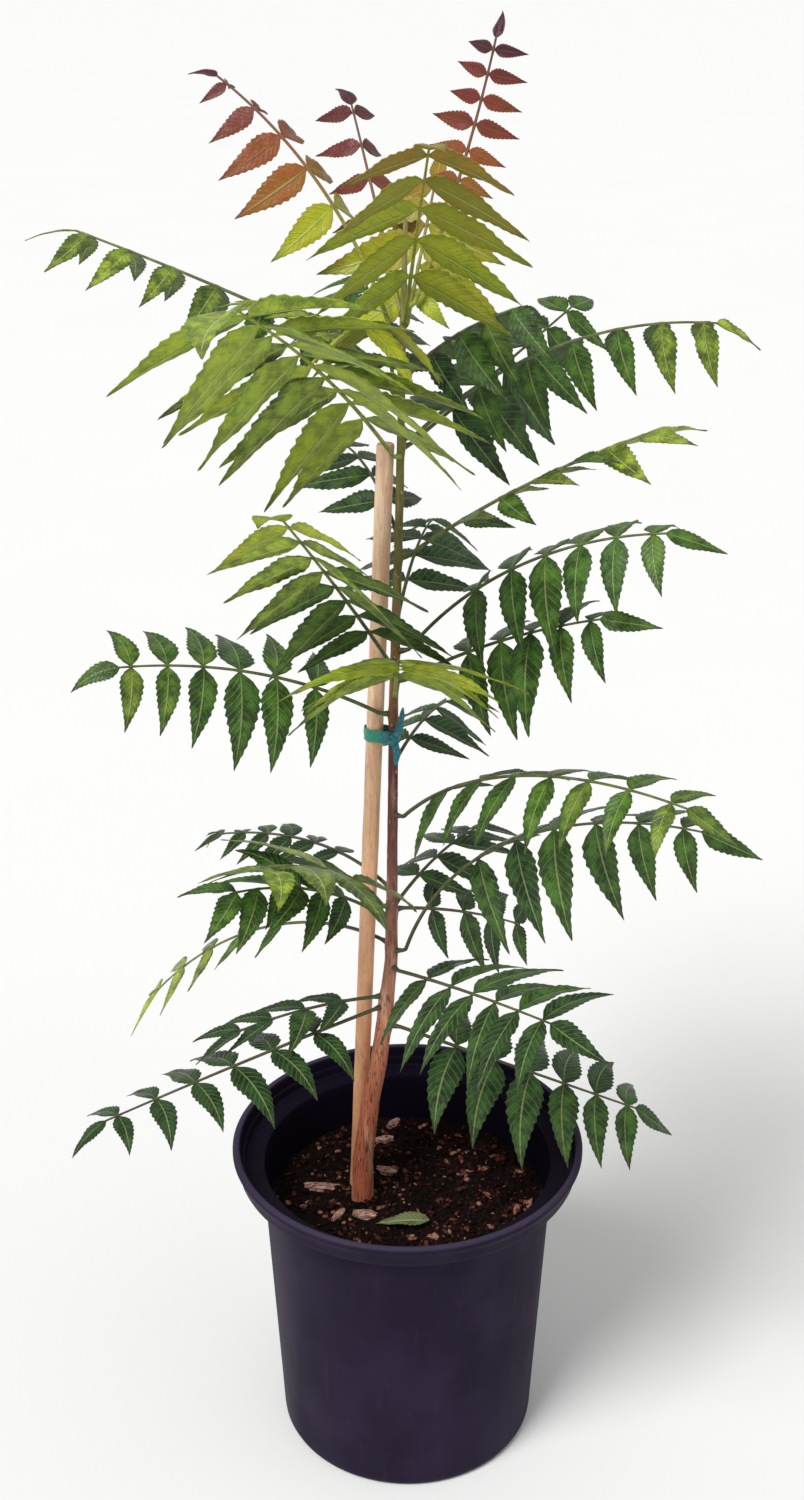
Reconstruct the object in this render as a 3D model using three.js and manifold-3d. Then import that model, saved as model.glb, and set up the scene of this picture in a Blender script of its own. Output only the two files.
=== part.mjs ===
// A young neem tree tied to a stake in a round nursery pot.
// Millimetres, +Z up, origin at the middle of the pot's underside, the side facing the viewer towards -Y.
import * as THREE from 'three';
import { mergeVertices } from 'three/addons/utils/BufferGeometryUtils.js';
import Module from 'manifold-3d';

const wasm = await Module();
wasm.setup();
const { Manifold } = wasm;
const { degToRad } = THREE.MathUtils;

// Gap kept between two pieces that touch on the real thing
const SEAT_GAP = 0.3;

// Pot: a three gallon nursery pot, injection moulded
const POT_HEIGHT = 241;
const LIP_RADIUS = 127;
const LIP_ROLL = 5;
const BAND_BOTTOM = 224;
const BAND_BOTTOM_RADIUS = 123;
const SHOULDER_RADIUS = 106;
const BASE_RADIUS = 94;
const POT_WALL = 2.5;
const HEEL_HEIGHT = 6;
const UNDERSIDE_RECESS = 3;
const CENTRE_DISC_RADIUS = 30;
const FOOT_RING_INNER = 80;
const DRAIN_HOLES = 4;
const DRAIN_HOLE_RADIUS = 6;
const DRAIN_RING_RADIUS = 56;
const POT_SIDES = 30;

// Potting soil
const SOIL_HEIGHT = 190;
const SOIL_SIDES = 24;

// Stem stations: height, x, y and radius of the bark
const STEM = [
  [121, -33.0, -4, 6.5],
  [190, -33.0, -4, 8.2],
  [225, -32.5, -4, 7.4],
  [275, -26.5, -3, 6.5],
  [305, -21.0, -2, 6.2],
  [340, -16.5, -1, 5.6],
  [390, -11.5, 0, 4.5],
  [450, -10.8, 0, 3.7],
  [585, -9.5, 0, 3.1],
  [720, -5.5, 0, 2.6],
  [800, -4.0, 0, 2.2],
  [850, -3.0, 0, 1.9],
  [892, -2.0, 0, 1.4],
];
const STEM_SIDES = 9;

// Stake: a straight cane from its buried point to its top behind the crown
const STAKE_FOOT = [-40, 11, 121];
const STAKE_TOP = [-14.2, 2, 756];
const STAKE_RADIUS = 5.6;
const STAKE_SIDES = 8;

// Tie: soft plastic tape knotted round the stem and the stake
const TIE_HEIGHT = 560;
const TIE_WIDTH = 9;
const TIE_THICKNESS = 0.8;
const KNOT_RADIUS = 4.4;
const TIE_TAILS = [
  [[1, -1, 2], [4.5, -2.5, 12], [6, -3, 24]],
  [[1, -1, -2], [2.5, -2.5, -9], [1.5, -3, -17]],
];
const TAIL_HALF_WIDTHS = [2, 2.2, 0.8];

// Compound leaves
const STALK_STEPS = 30;
const STALK_BASE_RADIUS = 1.5;
const STALK_TIP_RADIUS = 0.75;
const PETIOLE_BEND = 0.05;
const BARE_SHARE = 0.26;
const ROOT_WIDTH = 1.8;
const BLADE_THICKNESS = 0.7;
const BLADE_STEPS = 10;
const BLADE_SICKLE = 28;
const BLADE_WEIGHT = 0.45;
const END_FORWARD = 96;
const END_HANG = 18;
const BLADE_CLEARANCE = 0.8;
const PAIR_CLEARANCE = 0.4;
const STALK_CLEARANCE = 0.3;

// Heights on the stem where the leaves change colour
const LIME_FROM = 790;
const DEEP_BELOW = 450;

// Half widths of a leaflet over its length, on its side towards the tip of the frond and on the other side
const TIPWARD_EDGE = [[0.07, 0.135], [0.25, 0.2], [0.36, 0.165], [0.62, 0.12]];
const BASEWARD_EDGE = [[0.17, 0.17], [0.27, 0.15], [0.45, 0.155], [0.58, 0.105]];

// Swings a leaflet may take to stay clear of its neighbours: hang and forward angles, share of its length
const SWINGS = [
  [0, 0, 1], [14, 0, 1], [-14, 0, 1], [0, 14, 1], [0, -14, 1], [28, 0, 1], [-28, 0, 1], [16, 16, 1],
  [-16, 16, 1], [16, -16, 1], [-16, -16, 1], [0, 0, 0.8], [20, 0, 0.8], [-20, 0, 0.8], [40, 0, 0.85],
  [-40, 0, 0.85], [0, 25, 0.75], [0, -25, 0.75], [30, 20, 0.65], [-30, 20, 0.65], [0, 0, 0.55],
  [30, 0, 0.5], [-30, 0, 0.5],
];

// Fronds from the bottom up. Height is that of the leaf stalk on the stem, angles are in degrees: azimuth 0
// is to the right and -90 to the front, rise is the slope at the stem and droop how far it bends down by the
// tip, sweep bends it sideways. Leaflets stand at the forward angle to the stalk and hang below the frond's
// plane, which roll turns about the stalk. Tip is the length of the last pair as a share of the longest one,
// bare the share of the stalk below the first pair where it isn't the usual one.
const FRONDS = [
  { name: 'frond_bottom_right', height: 338, azimuth: -12, rise: -15, droop: 8, sweep: 14, length: 184,
    pairs: 6, leaflet: 72, tip: 0.6, forward: 106, hang: 12, roll: -22 },
  { name: 'frond_bottom_left', height: 354, azimuth: 218, rise: 1, droop: 9, sweep: -8, length: 213,
    pairs: 6, leaflet: 56, tip: 0.62, forward: 107, hang: 12, roll: 0 },
  { name: 'frond_small_left', height: 362, azimuth: 200, rise: 6, droop: 20, sweep: 0, length: 106,
    pairs: 4, leaflet: 48, tip: 0.8, forward: 54, hang: 10, roll: 0 },
  { name: 'frond_arch_near', height: 386, azimuth: -60, rise: 20, droop: 10, sweep: 8, length: 180,
    pairs: 6, leaflet: 66, tip: 0.75, forward: 106, hang: 14, roll: -24 },
  { name: 'frond_drop_left', height: 402, azimuth: 132, rise: -2, droop: 50, sweep: 38, length: 250,
    pairs: 5, leaflet: 36, tip: 1.25, forward: 66, hang: 8, roll: 10, bare: 0.42 },
  { name: 'frond_low_right', height: 399, azimuth: -43, rise: 73, droop: 74, sweep: 18, length: 285,
    pairs: 6, leaflet: 76, tip: 0.55, forward: 102, hang: 38, roll: -34, bare: 0.42 },
  { name: 'frond_near_left', height: 426, azimuth: 204, rise: 44, droop: 46, sweep: 0, length: 122,
    pairs: 6, leaflet: 52, tip: 0.85, forward: 60, hang: 14, roll: 16, bare: 0.3 },
  { name: 'frond_near_front', height: 434, azimuth: -134, rise: 58, droop: 50, sweep: 0, length: 130,
    pairs: 4, leaflet: 84, tip: 0.6, forward: 84, hang: 6, roll: -10, bare: 0.35 },
  { name: 'frond_small_right', height: 429, azimuth: 30, rise: -14, droop: 16, sweep: 0, length: 110,
    pairs: 4, leaflet: 46, tip: 0.8, forward: 75, hang: 25, roll: -50 },
  { name: 'frond_back_low', height: 432, azimuth: 60, rise: 18, droop: 30, sweep: 0, length: 130,
    pairs: 5, leaflet: 55, tip: 0.7, forward: 75, hang: 20, roll: 0 },
  { name: 'frond_back_row', height: 446, azimuth: 126, rise: 14, droop: 24, sweep: 50, length: 150,
    pairs: 6, leaflet: 42, tip: 0.6, forward: 75, hang: 10, roll: 0, bare: 0.34 },
  { name: 'frond_arch_right', height: 503, azimuth: -54, rise: 46, droop: 50, sweep: 16, length: 262,
    pairs: 7, leaflet: 58, tip: 0.65, forward: 112, hang: 20, roll: -18 },
  { name: 'frond_back_tie', height: 540, azimuth: 70, rise: 16, droop: 30, sweep: 0, length: 110,
    pairs: 4, leaflet: 56, tip: 0.8, forward: 80, hang: 25, roll: 0 },
  { name: 'frond_row_left', height: 576, azimuth: 200, rise: 34, droop: 30, sweep: 4, length: 188,
    pairs: 6, leaflet: 62, tip: 0.65, forward: 112, hang: 24, roll: 44, bare: 0.3 },
  { name: 'frond_front', height: 590, azimuth: -85, rise: 58, droop: 55, sweep: -6, length: 118,
    pairs: 5, leaflet: 80, tip: 0.8, forward: 100, hang: 8, roll: 0 },
  { name: 'frond_near_right', height: 600, azimuth: -27, rise: 35, droop: 18, sweep: 0, length: 152,
    pairs: 5, leaflet: 66, tip: 0.6, forward: 112, hang: 34, roll: -40, bare: 0.38 },
  { name: 'frond_fan_left', height: 614, azimuth: -110, rise: 43, droop: 2, sweep: -3, length: 212,
    pairs: 8, leaflet: 68, tip: 0.75, forward: 118, hang: 17, roll: -9 },
  { name: 'frond_row_right', height: 620, azimuth: -24, rise: 55, droop: 47, sweep: 2, length: 204,
    pairs: 6, leaflet: 62, tip: 0.65, forward: 112, hang: 20, roll: -25, bare: 0.36 },
  { name: 'frond_back_mid', height: 640, azimuth: 80, rise: 30, droop: 40, sweep: 0, length: 150,
    pairs: 5, leaflet: 64, tip: 0.7, forward: 75, hang: 22, roll: 0 },
  { name: 'frond_olive_right', height: 685, azimuth: -8, rise: 38, droop: 16, sweep: -2, length: 176,
    pairs: 6, leaflet: 48, tip: 0.95, forward: 60, hang: 24, roll: 9 },
  { name: 'frond_back_left', height: 700, azimuth: 112, rise: 40, droop: 40, sweep: 0, length: 100,
    pairs: 4, leaflet: 54, tip: 0.7, forward: 75, hang: 22, roll: 0 },
  { name: 'frond_big_left', height: 749, azimuth: -112, rise: 39, droop: 16, sweep: 3, length: 257,
    pairs: 10, leaflet: 92, tip: 0.85, forward: 114, hang: 20, roll: -16 },
  { name: 'frond_high_right', height: 754, azimuth: 42, rise: 25, droop: 5, sweep: 8, length: 172,
    pairs: 6, leaflet: 72, tip: 0.6, forward: 90, hang: 30, roll: -35 },
  { name: 'frond_far_right', height: 760, azimuth: 10, rise: 44, droop: 50, sweep: 0, length: 212,
    pairs: 6, leaflet: 50, tip: 0.8, forward: 105, hang: 62, roll: -20 },
  { name: 'frond_back_high', height: 775, azimuth: 100, rise: 40, droop: 40, sweep: 0, length: 170,
    pairs: 5, leaflet: 58, tip: 0.7, forward: 75, hang: 22, roll: 0 },
  { name: 'frond_crown_left', height: 788, azimuth: -160, rise: 62, droop: 50, sweep: 0, length: 106,
    pairs: 4, leaflet: 54, tip: 0.65, forward: 62, hang: 20, roll: 0 },
  { name: 'frond_high_left', height: 804, azimuth: 172, rise: 25, droop: 8, sweep: -6, length: 215,
    pairs: 6, leaflet: 46, tip: 0.8, forward: 105, hang: 31, roll: -6 },
  { name: 'frond_crown_right', height: 800, azimuth: -10, rise: 48, droop: 30, sweep: 0, length: 80,
    pairs: 4, leaflet: 56, tip: 0.8, forward: 95, hang: 35, roll: -20 },
  { name: 'frond_crown_bright', height: 812, azimuth: -112, rise: 62, droop: 70, sweep: 0, length: 66,
    pairs: 3, leaflet: 56, tip: 0.9, forward: 95, hang: 25, roll: 0 },
  { name: 'frond_crown_back', height: 829, azimuth: 61, rise: 66, droop: 4, sweep: 5, length: 90,
    pairs: 6, leaflet: 72, tip: 0.4, forward: 132, hang: 14, roll: -20 },
  { name: 'frond_crown_front', height: 832, azimuth: -80, rise: 58, droop: 24, sweep: -6, length: 160,
    pairs: 5, leaflet: 76, tip: 0.7, forward: 110, hang: 25, roll: 0 },
  { name: 'frond_young_left', height: 824, azimuth: 158, rise: 72, droop: 40, sweep: -3, length: 190,
    pairs: 5, leaflet: 55, tip: 0.38, forward: 100, hang: 34, roll: 20, bare: 0.45 },
  { name: 'frond_young_back', height: 836, azimuth: 108, rise: 50, droop: 4, sweep: 0, length: 152,
    pairs: 5, leaflet: 35, tip: 0.8, forward: 92, hang: 40, roll: 0 },
  { name: 'frond_young_right', height: 840, azimuth: 19, rise: 66, droop: -11, sweep: 0, length: 162,
    pairs: 6, leaflet: 28, tip: 0.7, forward: 105, hang: 15, roll: -50, bare: 0.5 },
];

// Seeded draw from 0 to 1
function draw(seed) {
  const value = Math.sin(seed * 12.9898) * 43758.5453;
  return value - Math.floor(value);
}

function between(low, high, share) {
  return low + (high - low) * share;
}

// Closed geometry to solid and back
function solidFrom(geometry) {
  const bare = geometry.clone();
  bare.deleteAttribute('normal');
  bare.deleteAttribute('uv');
  const merged = mergeVertices(bare, 1e-4);
  const vertProperties = new Float32Array(merged.attributes.position.array);
  const triVerts = new Uint32Array(merged.index.array);
  return new Manifold(new wasm.Mesh({ numProp: 3, vertProperties, triVerts }));
}

function geometryFrom(solid) {
  const mesh = solid.getMesh();
  const geometry = new THREE.BufferGeometry();
  geometry.setAttribute('position', new THREE.BufferAttribute(mesh.vertProperties, 3));
  geometry.setIndex(new THREE.BufferAttribute(mesh.triVerts, 1));
  geometry.computeVertexNormals();
  return geometry;
}

// Rod with closed ends along rings, each with a centre, two directions across it and a radius
function rodGeometry(rings, sides) {
  const steps = rings.length - 1;
  const geometry = new THREE.CylinderGeometry(1, 1, steps, sides, steps);
  const position = geometry.attributes.position;
  for (let i = 0; i < position.count; i += 1) {
    const ring = rings[Math.round(position.getY(i) + steps / 2)];
    const point = ring.centre.clone();
    point.addScaledVector(ring.across, position.getX(i) * ring.radius);
    point.addScaledVector(ring.outward, position.getZ(i) * ring.radius);
    position.setXYZ(i, point.x, point.y, point.z);
  }
  return geometry;
}

// Stem: centre and radius at a height, straight between the stations
function stemAt(height) {
  let i = 0;
  while (i < STEM.length - 2 && STEM[i + 1][0] < height) i += 1;
  const share = (height - STEM[i][0]) / (STEM[i + 1][0] - STEM[i][0]);
  const [x, y, radius] = [1, 2, 3].map((k) => between(STEM[i][k], STEM[i + 1][k], share));
  return { centre: new THREE.Vector3(x, y, height), radius };
}

function levelRing(x, y, z, radius) {
  const centre = new THREE.Vector3(x, y, z);
  return { centre, radius, across: new THREE.Vector3(1, 0, 0), outward: new THREE.Vector3(0, -1, 0) };
}

function stemSolid(grow) {
  const rings = STEM.map(([z, x, y, radius]) => levelRing(x, y, z, radius + grow));
  return solidFrom(rodGeometry(rings, STEM_SIDES));
}

function stakeSolid(grow) {
  const rings = [STAKE_FOOT, STAKE_TOP].map(([x, y, z]) => levelRing(x, y, z, STAKE_RADIUS + grow));
  return solidFrom(rodGeometry(rings, STAKE_SIDES));
}

function stakeAt(height) {
  const share = (height - STAKE_FOOT[2]) / (STAKE_TOP[2] - STAKE_FOOT[2]);
  return new THREE.Vector3(...STAKE_FOOT).lerp(new THREE.Vector3(...STAKE_TOP), share);
}

// Pot wall at a height: outer radius of the tapering body
function bodyRadius(z) {
  return between(BASE_RADIUS, SHOULDER_RADIUS, z / BAND_BOTTOM);
}

function potSolid() {
  const floorTop = UNDERSIDE_RECESS + POT_WALL;
  const lipInner = LIP_RADIUS - LIP_ROLL - POT_WALL;
  const innerShoulder = SHOULDER_RADIUS - POT_WALL;
  const outline = [
    [0, 0],
    [CENTRE_DISC_RADIUS, 0],
    [CENTRE_DISC_RADIUS + UNDERSIDE_RECESS, UNDERSIDE_RECESS],
    [FOOT_RING_INNER - UNDERSIDE_RECESS, UNDERSIDE_RECESS],
    [FOOT_RING_INNER, 0],
    [BASE_RADIUS - HEEL_HEIGHT * 0.6, 0],
    [bodyRadius(HEEL_HEIGHT), HEEL_HEIGHT],
    [SHOULDER_RADIUS, BAND_BOTTOM - 2],
    [BAND_BOTTOM_RADIUS, BAND_BOTTOM],
    [LIP_RADIUS - 2, POT_HEIGHT - LIP_ROLL - 1],
    [LIP_RADIUS, POT_HEIGHT - LIP_ROLL * 0.5],
    [LIP_RADIUS - LIP_ROLL * 0.6, POT_HEIGHT],
    [lipInner, POT_HEIGHT - 2.5],
    [BAND_BOTTOM_RADIUS - POT_WALL - 1.5, BAND_BOTTOM + POT_WALL + 1],
    [innerShoulder, BAND_BOTTOM],
    [bodyRadius(floorTop) - POT_WALL, floorTop],
    [0, floorTop],
  ];
  let pot = solidFrom(new THREE.LatheGeometry(outline.map(([r, z]) => new THREE.Vector2(r, z)), POT_SIDES));
  pot = pot.rotate([90, 0, 0]);
  for (let i = 0; i < DRAIN_HOLES; i += 1) {
    const angle = (i + 0.5) * 2 * Math.PI / DRAIN_HOLES;
    const hole = new THREE.CylinderGeometry(DRAIN_HOLE_RADIUS, DRAIN_HOLE_RADIUS, floorTop * 3, 10);
    hole.rotateX(Math.PI / 2);
    hole.translate(DRAIN_RING_RADIUS * Math.cos(angle), DRAIN_RING_RADIUS * Math.sin(angle), 0);
    pot = pot.subtract(solidFrom(hole));
  }
  return pot;
}

// Crumbly surface of the soil, a little higher round the stem
function soilHeightAt(x, y) {
  const stem = STEM[1];
  const mound = 3 * Math.exp(-((x - stem[1]) ** 2 + (y - stem[2]) ** 2) / 900);
  const rough = 1.6 * Math.sin(x * 0.11 + 1.3) * Math.cos(y * 0.09) + 1.1 * Math.sin(x * 0.21 - y * 0.17);
  return SOIL_HEIGHT + mound + rough;
}

function soilSolid() {
  const floor = UNDERSIDE_RECESS + POT_WALL + SEAT_GAP;
  const edgeAt = (z) => (bodyRadius(z) - POT_WALL) * Math.cos(Math.PI / POT_SIDES) - SEAT_GAP;
  const edge = edgeAt(SOIL_HEIGHT);
  const outline = [[0, floor], [edgeAt(floor), floor], [edge, SOIL_HEIGHT]];
  for (const share of [0.8, 0.58, 0.34, 0]) outline.push([edge * share, SOIL_HEIGHT]);
  const geometry = new THREE.LatheGeometry(outline.map(([r, z]) => new THREE.Vector2(r, z)), SOIL_SIDES);
  geometry.rotateX(Math.PI / 2);
  const position = geometry.attributes.position;
  for (let i = 0; i < position.count; i += 1) {
    const [x, y, z] = [position.getX(i), position.getY(i), position.getZ(i)];
    if (z > SOIL_HEIGHT - 1 && Math.hypot(x, y) < edge - 1) position.setZ(i, soilHeightAt(x, y));
  }
  return solidFrom(geometry);
}

// Frond: directions along the stalk, to its side and up from its plane, at a share of its length
function frondFrame(frond, share) {
  const bend = Math.min(1, share / PETIOLE_BEND);
  const slope = degToRad((frond.rise - frond.droop * share) * bend);
  const heading = degToRad(frond.azimuth + frond.sweep * share);
  const along = new THREE.Vector3(
    Math.cos(slope) * Math.cos(heading),
    Math.cos(slope) * Math.sin(heading),
    Math.sin(slope),
  );
  const level = new THREE.Vector3(Math.sin(heading), -Math.cos(heading), 0);
  const raised = new THREE.Vector3().crossVectors(level, along);
  const roll = degToRad(frond.roll);
  const side = level.clone().multiplyScalar(Math.cos(roll)).addScaledVector(raised, Math.sin(roll));
  const up = raised.clone().multiplyScalar(Math.cos(roll)).addScaledVector(level, -Math.sin(roll));
  return { along, side, up };
}

// Points of a frond's stalk from the bark outwards
function stalkPoints(frond) {
  const stem = stemAt(frond.height);
  const start = frondFrame(frond, 0).along;
  const points = [stem.centre.clone().addScaledVector(start, stem.radius + SEAT_GAP)];
  for (let i = 0; i < STALK_STEPS; i += 1) {
    const { along } = frondFrame(frond, (i + 0.5) / STALK_STEPS);
    points.push(points[i].clone().addScaledVector(along, frond.length / STALK_STEPS));
  }
  return points;
}

function pointAlong(points, share) {
  const place = Math.min(share, 0.9999) * (points.length - 1);
  const i = Math.floor(place);
  return points[i].clone().lerp(points[i + 1], place - i);
}

function stalkRadius(share) {
  return between(STALK_BASE_RADIUS, STALK_TIP_RADIUS, share);
}

// Corners of a stalk's or strip's ring: right low, right high, left high, left low, seen along it
const STRIP_CORNERS = [[1, -1], [1, 1], [-1, 1], [-1, -1]];

function stalkRing(frond, points, share) {
  const { side, up } = frondFrame(frond, share);
  const centre = pointAlong(points, share);
  const reach = stalkRadius(share) * Math.SQRT1_2;
  return STRIP_CORNERS.map(([right, high]) => (
    centre.clone().addScaledVector(side, right * reach).addScaledVector(up, high * reach)
  ));
}

// Leaflets of a frond: pairs up the stalk and a single one at its end
function leafletPlan(frond, number) {
  const plan = [];
  for (let pair = 0; pair < frond.pairs; pair += 1) {
    const rank = pair / (frond.pairs - 1);
    const size = rank < 0.4 ? between(0.85, 1, rank / 0.4) : between(1, frond.tip, (rank - 0.4) / 0.6);
    const share = between(frond.bare ?? BARE_SHARE, 0.96, rank ** 0.92);
    for (const hand of [1, -1]) {
      const seed = number * 100 + pair * 8 + hand;
      plan.push({
        pair,
        hand,
        share,
        length: frond.leaflet * size * between(0.92, 1.08, draw(seed)),
        forward: between(frond.forward, frond.forward * 0.8, rank) + between(-6, 6, draw(seed + 0.31)),
        hang: frond.hang + between(-8, 8, draw(seed + 0.57)),
      });
    }
  }
  const length = frond.leaflet * frond.tip * between(0.85, 1.05, draw(number * 100 + 77));
  plan.push({ pair: frond.pairs, hand: 0, share: 1, length, forward: END_FORWARD, hang: END_HANG });
  return plan;
}

// Midrib of a leaflet: it curves towards the frond's tip like a sickle and sags under its own weight
function midrib(frond, points, leaflet, [hangSwing, forwardSwing, lengthShare]) {
  const frame = frondFrame(frond, leaflet.share);
  const isEnd = leaflet.hand === 0;
  const tipward = isEnd ? frame.side.clone().negate() : frame.along;
  const level = isEnd ? frame.along : frame.side.clone().multiplyScalar(leaflet.hand);
  const hang = degToRad(leaflet.hang + hangSwing);
  const outward = level.clone().multiplyScalar(Math.cos(hang)).addScaledVector(frame.up, -Math.sin(hang));
  const flat = new THREE.Vector3().crossVectors(outward, tipward).normalize();
  const length = leaflet.length * lengthShare;
  const root = pointAlong(points, leaflet.share);
  if (!isEnd) root.addScaledVector(level, stalkRadius(leaflet.share) * Math.SQRT1_2);
  const stations = [{ point: root }];
  for (let i = 0; i <= BLADE_STEPS; i += 1) {
    const share = i / BLADE_STEPS;
    const angle = degToRad(leaflet.forward + forwardSwing - BLADE_SICKLE * share);
    const direction = tipward.clone().multiplyScalar(Math.cos(angle));
    direction.addScaledVector(outward, Math.sin(angle));
    direction.z -= BLADE_WEIGHT * share;
    direction.normalize();
    stations[i].tipward = new THREE.Vector3().crossVectors(flat, direction).normalize();
    stations[i].up = new THREE.Vector3().crossVectors(direction, stations[i].tipward);
    if (leaflet.hand < 0) stations[i].up.negate();
    if (i < BLADE_STEPS) {
      const next = stations[i].point.clone().addScaledVector(direction, length / BLADE_STEPS);
      stations.push({ point: next });
    }
  }
  return { stations, length, level, hand: leaflet.hand };
}

// Rings of a blade after its root, each low then high on both edges, and the two points of its tip.
// An edge that would reach the stalk it grows from is drawn in.
function bladeRings({ stations, length, level, hand }) {
  const at = (share, tipwardShift, high) => {
    const place = Math.min(share, 0.9999) * BLADE_STEPS;
    const i = Math.floor(place);
    const point = stations[i].point.clone().lerp(stations[i + 1].point, place - i);
    const reach = stations[i].tipward.clone().multiplyScalar(tipwardShift * length);
    const room = point.clone().sub(stations[0].point).dot(level) - STALK_CLEARANCE;
    const towardsStalk = -reach.dot(level);
    if (towardsStalk > room) reach.multiplyScalar(Math.max(0.1, room / towardsStalk));
    return point.add(reach).addScaledVector(stations[i].up, high * BLADE_THICKNESS / 2);
  };
  const rings = TIPWARD_EDGE.map(([tipShare, tipWidth], i) => {
    const [baseShare, baseWidth] = BASEWARD_EDGE[i];
    const edges = [[baseShare, -baseWidth], [tipShare, tipWidth]];
    if (hand < 0) edges.reverse();
    const [[a, aWidth], [b, bWidth]] = edges;
    return [at(a, aWidth, -1), at(b, bWidth, -1), at(b, bWidth, 1), at(a, aWidth, 1)];
  });
  return { rings, tip: [at(1, 0, -1), at(1, 0, 1)] };
}

// Shell: points and triangles of one closed body, grown ring by ring
class Shell {
  constructor() {
    this.position = [];
    this.index = [];
  }

  ring(points) {
    const first = this.position.length / 3;
    for (const point of points) this.position.push(point.x, point.y, point.z);
    return points.map((_, i) => first + i);
  }

  quad(a, b, c, d) {
    this.index.push(a, b, c, a, c, d);
  }

  // Skin of a rod or strip through its rings, each right low, right high, left high, left low seen along it
  rod(rings) {
    for (let i = 0; i + 1 < rings.length; i += 1) {
      for (let k = 0; k < 4; k += 1) {
        const next = (k + 1) % 4;
        this.quad(rings[i][next], rings[i][k], rings[i + 1][k], rings[i + 1][next]);
      }
    }
    this.quad(...rings[0]);
    this.quad(...[...rings.at(-1)].reverse());
  }

  // Blade from the four corners of its root, low then high, split into triangles alike on both faces
  blade(root, { rings, tip }) {
    let last = root;
    for (const points of rings) {
      const next = this.ring(points);
      this.quad(last[0], last[1], next[1], next[0]);
      this.quad(last[1], last[2], next[2], next[1]);
      this.quad(last[3], next[3], next[2], last[2]);
      this.quad(last[3], last[0], next[0], next[3]);
      last = next;
    }
    const [low, high] = this.ring(tip);
    this.index.push(last[0], last[1], low, last[2], last[3], high);
    this.quad(last[1], last[2], high, low);
    this.quad(last[3], last[0], low, high);
  }

  solid() {
    const geometry = new THREE.BufferGeometry();
    geometry.setAttribute('position', new THREE.Float32BufferAttribute(this.position, 3));
    geometry.setIndex(this.index);
    return solidFrom(geometry);
  }
}

// Closed body of a blade that starts at the four points of a ring
function bladeSolid(first, { rings, tip }) {
  const shell = new Shell();
  const start = shell.ring(first);
  shell.quad(start[3], start[2], start[1], start[0]);
  shell.blade(start, { rings, tip });
  return shell.solid();
}

// Corners of a stalk's ring, or of two neighbouring rings, that a leaflet grows from
function rootCorners(hand, near, far) {
  if (hand === 0) return [near[0], near[3], near[2], near[1]];
  return hand > 0 ? [near[0], far[0], far[1], near[1]] : [far[3], near[3], near[2], far[2]];
}

// Solids already in place, with their boxes, so that a new leaflet can be swung clear of them
const placed = [];

function place(solid, frond = null, pair = null) {
  placed.push({ solid, frond, pair, box: solid.boundingBox() });
}

function boxesMeet(a, b, margin) {
  return [0, 1, 2].every((k) => a.min[k] - margin < b.max[k] && b.min[k] - margin < a.max[k]);
}

function isClear(solid, frond, pair) {
  const box = solid.boundingBox();
  return placed.every((other) => {
    const isMate = other.frond === frond && (other.pair === pair || pair === frond.pairs);
    const gap = isMate ? PAIR_CLEARANCE : BLADE_CLEARANCE;
    if (other.frond === frond && other.pair === 'stalk') return true;
    return !boxesMeet(box, other.box, gap) || solid.minGap(other.solid, gap) >= gap;
  });
}

// Ring shares of a stalk: its base, its bend and both ends of each pair's roots
function stalkShares(frond, plan) {
  const half = ROOT_WIDTH / 2 / frond.length;
  const shares = [0, PETIOLE_BEND];
  for (const leaflet of plan) {
    if (leaflet.hand > 0) shares.push(leaflet.share - half, leaflet.share + half);
  }
  return [...shares, 1];
}

function stalkShell(frond, points, shares) {
  const shell = new Shell();
  const rings = shares.map((share) => shell.ring(stalkRing(frond, points, share)));
  return { shell, rings };
}

// Skin of the stalk between rings, open where the leaflets grow
function closeStalk(shell, rings, open) {
  for (let i = 0; i + 1 < rings.length; i += 1) {
    const [near, far] = [rings[i], rings[i + 1]];
    shell.quad(near[2], near[1], far[1], far[2]);
    shell.quad(near[3], far[3], far[0], near[0]);
    if (!open.has(`${i} 1`)) shell.quad(...rootCorners(1, near, far));
    if (!open.has(`${i} -1`)) shell.quad(...rootCorners(-1, near, far));
  }
  shell.quad(rings[0][2], rings[0][3], rings[0][0], rings[0][1]);
  if (!open.has('end')) shell.quad(...rootCorners(0, rings.at(-1)));
}

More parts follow.
